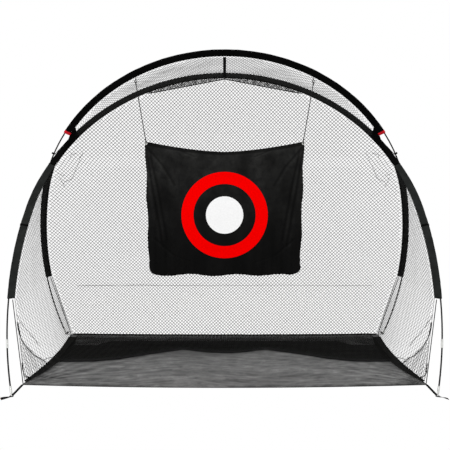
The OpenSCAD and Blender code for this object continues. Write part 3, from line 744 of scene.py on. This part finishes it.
def run(a, b, count=20):
    return [Vector(a).lerp(Vector(b), i / count) for i in range(1, count + 1)]


back_rim = arc_points(REAR_STAND, 0.0, turn_at(1.618), NET_GAP)
back_rim += arc_points(FRONT_STAND, turn_at(1.470), turn_at(0.540), NET_GAP)
back_rim += run(back_rim[-1], (FLOOR_REAR_X - 0.024, FLOOR_REAR_Y - 0.030, NET_FOOT))
back_edge = edge_table(back_rim)
BACK_TOP_Z, BACK_TOP_Y = back_rim[0].z, back_rim[0].y
BACK_FLOOR_Y = 0.668


def back_half(z):
    return edge_at(back_edge, z)[0]


def back_place(x, z):
    half, edge_y = edge_at(back_edge, z)
    k = min(1.0, abs(x) / max(half, 1e-4))
    middle = BACK_FLOOR_Y + (BACK_TOP_Y - BACK_FLOOR_Y) * z / BACK_TOP_Z
    free = (1 - k ** 4) * min(1, z / 0.12) * min(1, (BACK_TOP_Z - z) / 0.12)
    low = max(0.0, 1 - z / 0.75) ** 1.5
    sway = slack(x, 0.3, z, 0.33, 0.030) + slack(x, 1.7, z, 0.11, 0.008)
    folds = low * (0.016 * sin(x * 17 + 2 * sin(x * 5) + z * 3)
                   + slack(x * 2.4, 3, z * 0.5, 0.2, 0.02))
    y = edge_y + (middle - edge_y) * (1 - k * k) + free * (sway + folds)
    return Vector((x, y, z))


diamond_net(["net_back_low", "net_back_mid", "net_back_high"], (NET_FOOT, BACK_TOP_Z),
            lambda z: -back_half(z), back_half, back_place, ["back_net"], thread=BACK_THREAD)

front_rim = arc_points(REAR_STAND, turn_at(1.492), turn_at(0.593), NET_GAP)
front_rim += run(front_rim[-1], (FLOOR_FRONT_X - 0.014, FLOOR_FRONT_Y + 0.022, NET_FOOT))
rear_rim = arc_points(FRONT_STAND, turn_at(1.430), turn_at(0.540), -NET_GAP)
rear_rim += run(rear_rim[-1], (FLOOR_REAR_X - 0.014, FLOOR_REAR_Y - 0.022, NET_FOOT))
front_edge, rear_edge = edge_table(front_rim), edge_table(rear_rim)
SIDE_TOP = min(front_rim[0].z, rear_rim[0].z)
FLOOR_WAIST = 0.044


def side_front(z):
    return edge_at(front_edge, z)[1]


def side_rear(z):
    return edge_at(rear_edge, z)[1]


def side_place(sign):
    def place(y, z):
        (near_x, near), (far_x, far) = edge_at(front_edge, z), edge_at(rear_edge, z)
        share = min(1, max(0, (y - near) / max(far - near, 1e-4)))
        x = (1 - share) * near_x + share * far_x
        hang = 4 * share * (1 - share)
        x -= FLOOR_WAIST * hang * max(0.0, 1 - z / 0.50)
        x += hang * min(1, z / 0.1) * (slack(1.1, y, z, 0.4, 0.004) + slack(5.2, y, z, 0.13, 0.001))
        return Vector((sign * x, y, z))
    return place


for side, sign in SIDES.items():
    diamond_net([f"net_side_{side}"], (NET_FOOT, SIDE_TOP), side_front, side_rear,
                side_place(sign), [f"side_net_{side}"], mesh=SIDE_MESH,
                thread=SIDE_THREAD)

# ---- Gathered netting ----
# The nets are cut a little full, so here and there they lie double or are drawn into a fold: under
# the rear arch, by the crossings, across the back and at the front corners.
UNDER_SEAM = 0.013
SEAM_TURN = radians(26)
apex_up = hoop_point(0, NET_EDGE - UNDER_SEAM)[1]
side_x, side_up = hoop_point(SEAM_TURN, NET_EDGE - UNDER_SEAM)
for name, mesh, back in (("net_overlap_a", 0.0165, -0.0032), ("net_overlap_b", 0.013, -0.0062)):
    diamond_net([name], (-side_x + 0.01, side_x - 0.01),
                lambda x: apex_up + (side_up - apex_up) * abs(x) / side_x,
                lambda x: ARCH_UP + ((ARCH_R + NET_EDGE + 0.003) ** 2 - x * x) ** 0.5,
                lambda up, x, back=back: REAR_STAND @ Vector((x, up, back)),
                mesh=(mesh, mesh), thread=OVERLAP_THREAD)


def gathered(name, routes, place, thick=0.0026, strands=4, spread=0.0035):
    """Folds of netting: along each route a few threads lie side by side and wander."""
    curve = thread_curve(name, thick, thread_finish)
    for r, route in enumerate(routes):
        share = np.linspace(0, 1, len(route))
        fits = [np.polyfit(share, axis, min(3, len(route) - 1)) for axis in np.array(route).T]
        for strand in range(strands):
            line = []
            for i in range(48):
                at = place(*(float(np.polyval(fit, i / 47)) for fit in fits))
                stray = Vector([rough(i * 0.13, strand * 3.1 + axis, r * 2.7)
                                for axis in range(3)])
                line.append(at + stray * spread * 2)
            add_line(curve, line)
    return placed(name, curve, "netting_black")


CORNER_FOLDS = [
    [(-0.472, 0.376), (-0.465, 0.262), (-0.364, 0.178), (-0.282, 0.112), (-0.198, 0.058),
     (-0.132, 0.022)],
    [(-0.500, 0.124), (-0.507, 0.064), (-0.462, 0.024), (-0.374, 0.010), (-0.234, 0.010)]]
FAINT_FOLDS = [
    [(-0.467, 0.418), (-0.387, 0.334), (-0.277, 0.238), (-0.178, 0.148)],
    [(-0.198, 0.058), (-0.090, 0.040), (0.017, 0.018)],
    [(-0.433, 0.012), (-0.303, 0.012), (-0.183, 0.018)]]
BACK_FOLDS = [
    [(1.000, 1.434), (1.017, 1.394), (1.036, 1.364), (1.056, 1.334), (1.077, 1.294),
     (1.089, 1.264)],
    [(1.089, 1.264), (1.119, 1.234), (1.153, 1.224)],
    [(1.077, 1.394), (1.074, 1.414), (1.057, 1.424), (1.037, 1.424)],
    [(1.191, 1.284), (1.165, 1.274), (1.149, 1.264)],
    [(1.182, 1.254), (1.166, 1.214), (1.155, 1.184)]]
BACK_CREASE = [[(-1.13, 0.414), (-0.60, 0.409), (0.0, 0.416), (0.60, 0.410), (1.13, 0.414)]]
gathered("back_crease", BACK_CREASE, back_place, 0.0018, 2, 0.0025)
fold_y, fold_z = np.array(CORNER_FOLDS[0][::-1]).T
for side, sign in SIDES.items():
    gathered(f"corner_folds_{side}", CORNER_FOLDS, side_place(sign))
    gathered(f"faint_folds_{side}", FAINT_FOLDS, side_place(sign), 0.0020, 2)
    gathered(f"back_folds_{side}", BACK_FOLDS,
             lambda x, z, sign=sign: back_place(sign * x, z), 0.0014, 2, 0.003)
    diamond_net([f"net_corner_{side}"], (NET_FOOT, 0.37), side_front,
                lambda z: max(side_front(z) + 0.01, float(np.interp(z, fold_z, fold_y))),
                lambda y, z, sign=sign: side_place(sign)(y, z) - Vector((0.004 * sign, 0, 0)),
                mesh=(0.030, 0.030), thread=0.0022)

# ---- Cords of the nets ----
# Laid ropes sewn along the nets' edges: 9 mm along the rear hem, 6 mm along the free edges of the
# sides and out from the apex under the rear arch.
rope_finish = braid_finish("laid_rope", (0.001, 0.001, 0.001), (0.007, 0.007, 0.007), 0.01)
EDGE_ROPE, HEM_ROPE = 0.006, 0.009
for side, sign in SIDES.items():
    for end, stand, height, foot in (
            ("front", REAR_STAND, 0.593, (1.244, -0.526, 0.0063)),
            ("rear", FRONT_STAND, 0.540, (1.207, 0.732, 0.0063))):
        top = on_hoop(stand, turn_at(height) + radians(0.2), NET_EDGE + 0.012)
        rope(f"edge_rope_{end}_{side}", [(sign * top.x, top.y, top.z), (
            sign * foot[0], *foot[1:])], EDGE_ROPE, rope_finish, "cord_black",
             [f"{end}_edge_cord_{side}"])
rope("hem_rope", [(x, 0.722 - 0.038 * (1 - (x / 1.196) ** 2), 0.0078)
                  for x in np.linspace(-1.196, 1.196, 61)], HEM_ROPE, rope_finish, "cord_black",
     ["rear_hem_rope"])
seam_points = [on_hoop(REAR_STAND, turn, NET_EDGE - UNDER_SEAM, -0.008)
               for turn in (-SEAM_TURN, 0, SEAM_TURN)]
rope("seam_rope", seam_points, EDGE_ROPE, rope_finish, "cord_black", ["roof_seam_cord"])

# ---- Webbing ----
# Flat black webbing with ribs: a strap between the arches at the apex, and one from each corner
# of the floor to the foot, with a free tail past it. The front tails lie half on edge.
webbing_finish = cloth_finish("ribbed_webbing", (0.001, 0.001, 0.001), (0.007, 0.007, 0.007),
                              0.0024, 0.85, 0.0, 0.0004, 0.02, 60.0)


def webbing(name, points, wide, up, replaced, eye=None, twist=0.0):
    """A strap along a route. It widens round the eye of its eyelet, and its tail turns on edge by
    `twist`."""
    points = [Vector(p) for p in points]
    up = Vector(up).normalized()
    total = route_length(points)
    eye_at = (points[1] - points[0]).length / total if eye else 0.0
    bm = grid(14, max(24, int(total / 0.0022)))
    for v in bm.verts:
        u, k = v.co.x, (v.co.y + 1) / 2
        at = route_at(points, k)[0]
        along = (route_at(points, min(1, k + 0.03))[0]
                 - route_at(points, max(0, k - 0.03))[0]).normalized()
        half = wide / 2
        if eye:
            half = max(half, max(0.0, 0.012 ** 2 - ((k - eye_at) * total) ** 2) ** 0.5)
        past = max(0.0, (k - eye_at) * total - 0.016) / 0.05 if eye else 0.0
        lean = twist * min(1, past)
        across = along.cross(up).normalized()
        rise = half * abs(sin(lean))
        v.co = at + (across * cos(lean) + up * sin(lean)) * u * half + up * rise
        v.co -= up * 0.0003 * u ** 4
    if eye:
        ring = Vector((points[1].x, points[1].y, 0))
        inside = [v for v in bm.verts
                  if (Vector((v.co.x, v.co.y, 0)) - ring).length < eye - 0.0006]
        bmesh.ops.delete(bm, geom=inside, context="VERTS")
        for v in bm.verts:
            away = Vector((v.co.x, v.co.y, 0)) - ring
            if v.is_boundary and away.length < eye + 0.0025:
                away = away.normalized() * eye
                v.co.x, v.co.y = ring.x + away.x, ring.y + away.y
    outward(bm)
    give_wall(smooth(piece(name, bm, webbing_finish, "webbing_black", replaced=[replaced])),
              0.0016)


APEX_WIDE, STRAP_WIDE, STRAP_EYE, STRAP_Z = 0.021, 0.016, 0.0081, 0.002
apex_front = on_hoop(FRONT_STAND, 0, NET_EDGE) + Vector((0, 0.004, -0.006))
apex_rear = on_hoop(REAR_STAND, 0, NET_EDGE) + Vector((0, -0.024, -0.004))
webbing("apex_webbing", [apex_front, apex_rear], APEX_WIDE,
        Vector((1, 0, 0)).cross(apex_rear - apex_front), "apex_strap")
foot_out = hoop_point(FOOT_TURN, 0)[0]
for side, sign in SIDES.items():
    for end, corner, foot_y, tail, turned in (
            ("front", (1.244, -0.5385), -FEET_Y, (foot_out + 0.044, -0.817), 0.75),
            ("rear", (1.224, 0.732), FEET_Y, (foot_out, 0.8214), 0.0)):
        route = [(sign * x, y, STRAP_Z)
                 for x, y in (corner, (foot_out, foot_y), tail)]
        webbing(f"corner_webbing_{end}_{side}", route, STRAP_WIDE, (0, 0, 1),
                f"{end}_corner_strap_{side}", STRAP_EYE, turned)

# ---- Hanging tabs ----
# A loop of braided cord under the front arch's seam on each side, knotted a little below the
# seam. The hanging cord is tied into it.
TAB_RING, TAB_CORD, TAB_SEAM_Z = 0.009, 0.004, 1.93755
for side, sign in SIDES.items():
    middle = Vector((sign * HANG_X, HANG_Y, HANG_Z + TAB_RING))
    bm = bmesh.new()
    cord_ring(bm, middle, (0, 1, 0), TAB_RING, TAB_CORD)
    low, high = middle.z + TAB_RING - 0.001, TAB_SEAM_Z
    bmesh.ops.create_cone(bm, cap_ends=True, segments=12, radius1=TAB_CORD * 0.45,
                          radius2=TAB_CORD * 0.45, depth=high - low, matrix=Matrix.Translation(
                              (middle.x, middle.y, (low + high) / 2)))
    cord_wraps(bm, (middle.x, middle.y, low + 0.006), (0, 0, 1), TAB_CORD * 0.8)
    outward(bm)
    smooth(piece(f"tab_loop_{side}", bm, cord_finish, "cord_black",
                 replaced=[f"hanging_tab_{side}"]))

# ---- Corner eyelets ----
# Pressed steel eyelets in the corner straps, one under each foot, with a dark coating that is
# rubbed in patches.
material, shader, add, place = node_tree("coated_steel")
cloud = add("ShaderNodeTexNoise", {"Vector": place, "Scale": 90.0, "Detail": 5.0}).outputs["Fac"]
feed(shader, {
    "Base Color": tones(add, cloud, (0.006, 0.006, 0.006), (0.035, 0.035, 0.034), 0.35, 0.75),
    "Roughness": between(add, cloud, 0.35, 0.6), "Metallic": 0.6})
dress(("corner_eyelets",), material)

# ---- Floor sheet ----
# A sheet of coated grey nylon, cut to 2.50 by 1.34 m and drawn in at the sides by the nets.
# It lies on the ground, with ripples along it and creases that fan out from the front corners.
FLOOR_BOW, REAR_DRAW = 0.058, 0.042
FLOOR_DEEP, FLOOR_HEM = 1.30, 0.014
SIDE_SHADE_X = 1.21


def floor_side_x(k):
    return FLOOR_FRONT_X + (FLOOR_REAR_X - FLOOR_FRONT_X) * k - FLOOR_WAIST * 4 * k * (1 - k)


def floor_point(u, k):
    """Place on the flat floor sheet: u from -1 to 1 across, k from the front to the rear."""
    x = u * floor_side_x(k)
    front = FLOOR_FRONT_Y - FLOOR_BOW * (1 - u * u)
    rear = FLOOR_REAR_Y - REAR_DRAW * (1 - u * u)
    return x, front + (rear - front) * k


def floor_height(x, y):
    """Ripples: long ones across the sheet, fanned ones from the two front corners."""
    rise = 0.5 + 0.5 * rough(x * 2.6, y * 11 + 0.8 * sin(x * 3), 0.2)
    rise += 0.35 * rough(x * 6, y * 26 + sin(x * 7), 4.1)
    for sign in (-1, 1):
        dx, dy = FLOOR_FRONT_X - sign * x, y - FLOOR_FRONT_Y
        fan = atan2(dy, dx) * 26 + 3 * rough(x * 3, y * 3, 9)
        rise += 0.8 * max(0.0, 1 - hypot(dx, dy) / 0.9) * (0.5 + 0.5 * sin(fan))
    return rise


def shaded(material):
    """Multiplies a cloth's colour by the attribute "shade" of the piece that wears it, which holds
    painted shade and light.
    """
    add, shader = adder(material.node_tree), material.node_tree.nodes["Principled BSDF"]
    shades = add("ShaderNodeAttribute", attribute_name="shade")
    darker = add("ShaderNodeVectorMath", {
        0: shader.inputs["Base Color"].links[0].from_socket, 1: shades.outputs["Fac"]},
        operation="MULTIPLY")
    feed(shader, {"Base Color": darker.outputs["Vector"]})
    return material


APRON_X, APRON_REAR_Y = 1.15, 0.690
APRON_EDGE = ((0.0, 0.175), (0.12, 0.190), (0.30, 0.268), (0.50, 0.161), (0.72, 0.020),
              (0.90, -0.040), (1.15, -0.045))


def apron_front(x):
    """Front edge of the slack net that lies on the sheet."""
    return float(np.interp(abs(x), *zip(*APRON_EDGE)))


def floor_hem_and_painted_shade(x, y, u, k):
    """How light the sheet shows: dark along its hem, in the hem's own colour; painted shade by its
    sides;
    and painted light and shade by turns in the creases, with broad light and dark patches."""
    # Painted shade darkens the sheet towards its sides.
    shade = 1 - 0.45 * exp(-max(0.0, SIDE_SHADE_X - abs(x)) / 0.07)
    shade += 0.42 * rough(x * 2.2, y * 7, 3.3)
    # Painted light and shade by turns along the ripples and the creases that fan from the front
    # corners.
    shade += 0.55 * rough(x * 9, y * 30 + 2 * sin(x * 5), 8.1)
    dx, dy = FLOOR_FRONT_X - abs(x), y - FLOOR_FRONT_Y
    fan = atan2(dy, dx) * 34 + 4 * rough(x * 3, y * 3, 9)
    shade += 0.5 * max(0.0, 1 - hypot(dx, dy) / 0.8) * sin(fan)
    # The hem is darker in its own colour.
    if min(k * FLOOR_DEEP, (1 - abs(u)) * FLOOR_FRONT_X) < FLOOR_HEM:
        shade *= 0.35
    return max(0.12, shade)


bm = grid(260, 150)
# Each point keeps its painted shade and the hem's darker colour in the attribute shade.
shade = bm.verts.layers.float.new("shade")
for v in bm.verts:
    u, k = v.co.x, (v.co.y + 1) / 2
    x, y = floor_point(u, k)
    rim = min(1, (1 - abs(u)) * 40, k * 40, (1 - k) * 40)
    v[shade] = floor_hem_and_painted_shade(x, y, u, k)
    open_part = min(1, max(0, (apron_front(x) - 0.03 - y) / 0.15))
    tall = 0.0022 + 0.0050 * open_part
    v.co = (x, y, 0.0012 + rim * tall * max(0.0, floor_height(x, y)))
outward(bm)
floor_finish = shaded(cloth_finish("coated_nylon", (0.050, 0.050, 0.050), (0.185, 0.185, 0.182),
                                   0.005, 0.42, 0.1, scale=16.0))
floor = smooth(piece("ground_sheet", bm, floor_finish, "floor_grey", replaced=["floor_sheet"]))
give_wall(floor, 0.0008, -1)

# ---- Slack foot of the back net ----
# The back net runs on over the rear of the floor in low folds, in two layers. Under them lies a
# strip of black cloth, which darkens them.
SKIRT_REAR_Y, SKIRT_Z = 0.50, 0.0085
APRON_Z, LAYER_UP, LAYER_SHORT = 0.0165, 0.004, 0.11
bm = grid(150, 40)
for v in bm.verts:
    x, k = v.co.x * APRON_X, (v.co.y + 1) / 2
    rear = SKIRT_REAR_Y - 0.12 * min(1, max(0, (abs(x) - 0.85) / 0.10))
    y = rear + (min(apron_front(x), rear - 0.05) - rear) * k
    fold = 0.5 + 0.5 * rough(x * 5, y * 9, 2.2)
    v.co = (x, y, SKIRT_Z + 0.006 * fold * sin(pi * min(1, k * 1.1)))
outward(bm)
skirt_area = round(sum(f.calc_area() for f in bm.faces), 2)
skirt = smooth(piece("rear_skirt", bm, cloth_finish(
    "skirt_nylon", (0.003, 0.003, 0.003), (0.010, 0.010, 0.010), 0.004, 0.7, 0.05),
    "netting_black"))
give_wall(skirt, 0.0006, -1)

for layer in range(2):
    def apron_place(y, x, layer=layer):
        fold = 0.5 + 0.5 * rough(x * 7, y * 12, 5.0 + layer)
        return Vector((x, y, APRON_Z + LAYER_UP * layer + 0.005 * fold))

    diamond_net([f"net_apron_{layer + 1}"], (-APRON_X + 0.01, APRON_X - 0.01),
                lambda x, layer=layer: min(apron_front(x) + 0.02 * layer, 0.60),
                lambda x, layer=layer: (APRON_REAR_Y - LAYER_SHORT * layer
                                        - 0.03 * (1 - (x / APRON_X) ** 2)),
                apron_place, ["net_apron"] if layer == 0 else [], mesh=(0.028, 0.028),
                thread=0.0021)

# ---- Bunched foot of the side nets ----
# Along each side of the floor the side net's foot lies bunched on the sheet, a narrow band at the
# front corner that widens until it meets the slack foot of the back net.
BUNCH_AT = (-0.50, -0.31, -0.13, 0.065, 0.40, 0.60)
BUNCH_WIDE = (0.020, 0.052, 0.067, 0.085, 0.075, 0.060)
BUNCH_Z = 0.0105
for side, sign in SIDES.items():
    def bunch_place(inward, y, sign=sign):
        k = (y - FLOOR_FRONT_Y) / (FLOOR_REAR_Y - FLOOR_FRONT_Y)
        lump = 0.5 + 0.5 * rough(inward * 30, y * 16, 7.0 + sign)
        return Vector((sign * (floor_side_x(k) - inward), y, BUNCH_Z + 0.006 * lump))

    diamond_net([f"side_bunch_{side}"], (BUNCH_AT[0], BUNCH_AT[-1]), lambda y: 0.002,
                lambda y: float(np.interp(y, BUNCH_AT, BUNCH_WIDE)), bunch_place,
                mesh=(0.013, 0.013), thread=0.0038)

# ---- Target ----
# A cloth of black nylon, 1.07 by 0.90 m, hung by its two upper corners. It sags along the top,
# and its folds run down from the corners and die out at the printed ring.
TARGET_HALF, TARGET_LOW_HALF, TARGET_TALL = 0.534, 0.507, 0.895
TARGET_TOP, TARGET_SAG, TARGET_HEM = 1.507, 0.070, 0.025
ROUND_FROM, ROUND_IN = 0.936, 0.075
RING_OUT, RING_IN, DISC = 0.289, 0.208, 0.125
RING_Z = TARGET_TOP - 0.493


def target_fold(x, z):
    down, side = TARGET_TOP - z, CORNER_X - abs(x)
    reach = hypot(x, z - RING_Z)
    free = min(1, max(0, (reach - RING_OUT - 0.012) / 0.13))
    fan = atan2(down + 0.03, side + 0.06)
    corner = (0.010 * sin(fan * 11 + (0.6 if x > 0 else 0)) * min(1, down / 0.09)
              * min(1, hypot(side, down) / 0.3 + 0.2))
    hang = 0.005 * sin(x * 97 + 0.7) * min(1, max(0, down) / 0.5)
    return free * (corner + hang + 0.0035 * rough(x * 9, z * 3.5, 1.5))


def target_point(u, k):
    """Place on the target: u from -1 to 1 across, k down from its top. Its edges wander a little,
    and its lower corners are round."""
    half = TARGET_HALF + (TARGET_LOW_HALF - TARGET_HALF) * min(1, k * 1.15)
    half += 0.004 * sin(k * 19 + (1 if u > 0 else 0)) * min(1, k * 6)
    half += 0.003 * rough(k * 38, 1 if u > 0 else 5, 0.4) * min(1, k * 8)
    if k > ROUND_FROM:
        half -= ROUND_IN * (1 - (1 - ((k - ROUND_FROM) / (1 - ROUND_FROM)) ** 2) ** 0.5)
    x = u * half
    top = TARGET_TOP - TARGET_SAG * (1 - abs(u) ** 1.6)
    low = TARGET_TOP - TARGET_TALL + 0.006 * sin(u * 9)
    return x, top + (low - top) * k


# Lines of the creases along which painted shade darkens the cloth.
TARGET_CREASES = [
    [(0.525, 1.467), (0.480, 1.176), (0.436, 0.937), (0.413, 0.802)],
    [(0.520, 1.470), (0.400, 1.330), (0.330, 1.210)],
    [(0.500, 1.440), (0.445, 1.180), (0.385, 0.840)],
    [(0.300, 1.445), (0.190, 1.400), (0.060, 1.392)],
    [(0.470, 0.860), (0.330, 0.740), (0.180, 0.690)]]


def target_hem_and_painted_shade(x, z):
    """How light the cloth shows: painted shade darker down the sheet and in the creases, a painted
    highlight beside each crease, darker at the top hem, and random tone.
    """
    # Painted shade: the light falls from above, so the cloth is lightest at the top and darker down
    # it.
    shade = 0.16 + 0.84 * min(1, max(0, (z - 0.74) / 0.70)) ** 1.3
    # Painted shade along each crease line, with a painted highlight just beside it.
    for crease in TARGET_CREASES:
        xs, zs = np.array(crease).T
        if zs[-1] < z < zs[0]:
            off = abs(x) - float(np.interp(-z, -zs, xs))
            shade *= 1 - 0.62 * exp(-(off / 0.009) ** 2) + 0.45 * exp(-((off - 0.020) / 0.010) ** 2)
    hem = TARGET_TOP - TARGET_SAG * (1 - min(1, abs(x) / TARGET_HALF) ** 1.6) - z
    if hem < TARGET_HEM:
        shade *= 0.35
    return shade * (1 + 0.7 * rough(x * 11, z * 5, 2.0))


target_cloth = shaded(cloth_finish("target_nylon", (0.006, 0.006, 0.006), (0.021, 0.021, 0.020),
                                   0.004, 0.7, 0.02))
bm = grid(150, 130)
# Each point keeps its painted shade in the attribute shade.
shade = bm.verts.layers.float.new("shade")
for v in bm.verts:
    x, z = target_point(v.co.x, (1 - v.co.y) / 2)
    v[shade] = max(0.02, target_hem_and_painted_shade(x, z))
    v.co = (x, HANG_Y - 0.0012 + target_fold(x, z), z)
outward(bm)
target = smooth(piece("target_cloth", bm, target_cloth, "target_black", "target",
                      ["target_sheet"]))
give_wall(target, 0.0011)


def print_finish(name, dark, light):
    """Ink printed on the cloth: even, with a fine grain."""
    material, shader, add, place = node_tree(name)
    grain = add("ShaderNodeTexNoise", {
        "Vector": place, "Scale": 90.0, "Detail": 4.0}).outputs["Fac"]
    feed(shader, {
        "Base Color": tones(add, grain, dark, light, 0.3, 0.7), "Roughness": 0.75,
        "Normal": relief(add, grain, 0.2, 0.0003), "Specular IOR Level": 0.0})
    return material


def printed(name, outer, inner, material, slot, node):
    """A printed ring or disc: a thin skin on the cloth."""
    bm = bmesh.new()
    circle = bmesh.ops.create_circle(bm, cap_ends=False, segments=128, radius=outer)
    rim = list({e for v in circle["verts"] for e in v.link_edges})
    if inner:
        hole = bmesh.ops.create_circle(bm, cap_ends=False, segments=128, radius=inner)
        rim += list({e for v in hole["verts"] for e in v.link_edges})
        bmesh.ops.bridge_loops(bm, edges=rim)
    else:
        made = bmesh.ops.contextual_create(bm, geom=rim)
        bmesh.ops.inset_individual(bm, faces=made["faces"], thickness=outer * 0.5)
    bmesh.ops.transform(bm, verts=bm.verts[:], matrix=Matrix.Translation(
        (0, HANG_Y - 0.0022, RING_Z)) @ Matrix.Rotation(pi / 2, 4, "X"))
    give_wall(piece(name, bm, material, slot, "target", [node]), 0.0003)


printed("printed_ring", RING_OUT, RING_IN, print_finish(
    "red_print", (0.88, 0.0, 0.0), (1.0, 0.0, 0.0)), "ring_red", "target_ring")
printed("printed_disc", DISC, 0, print_finish(
    "white_print", (0.93, 0.93, 0.93), (1.0, 1.0, 1.0)), "disc_white", "target_disc")
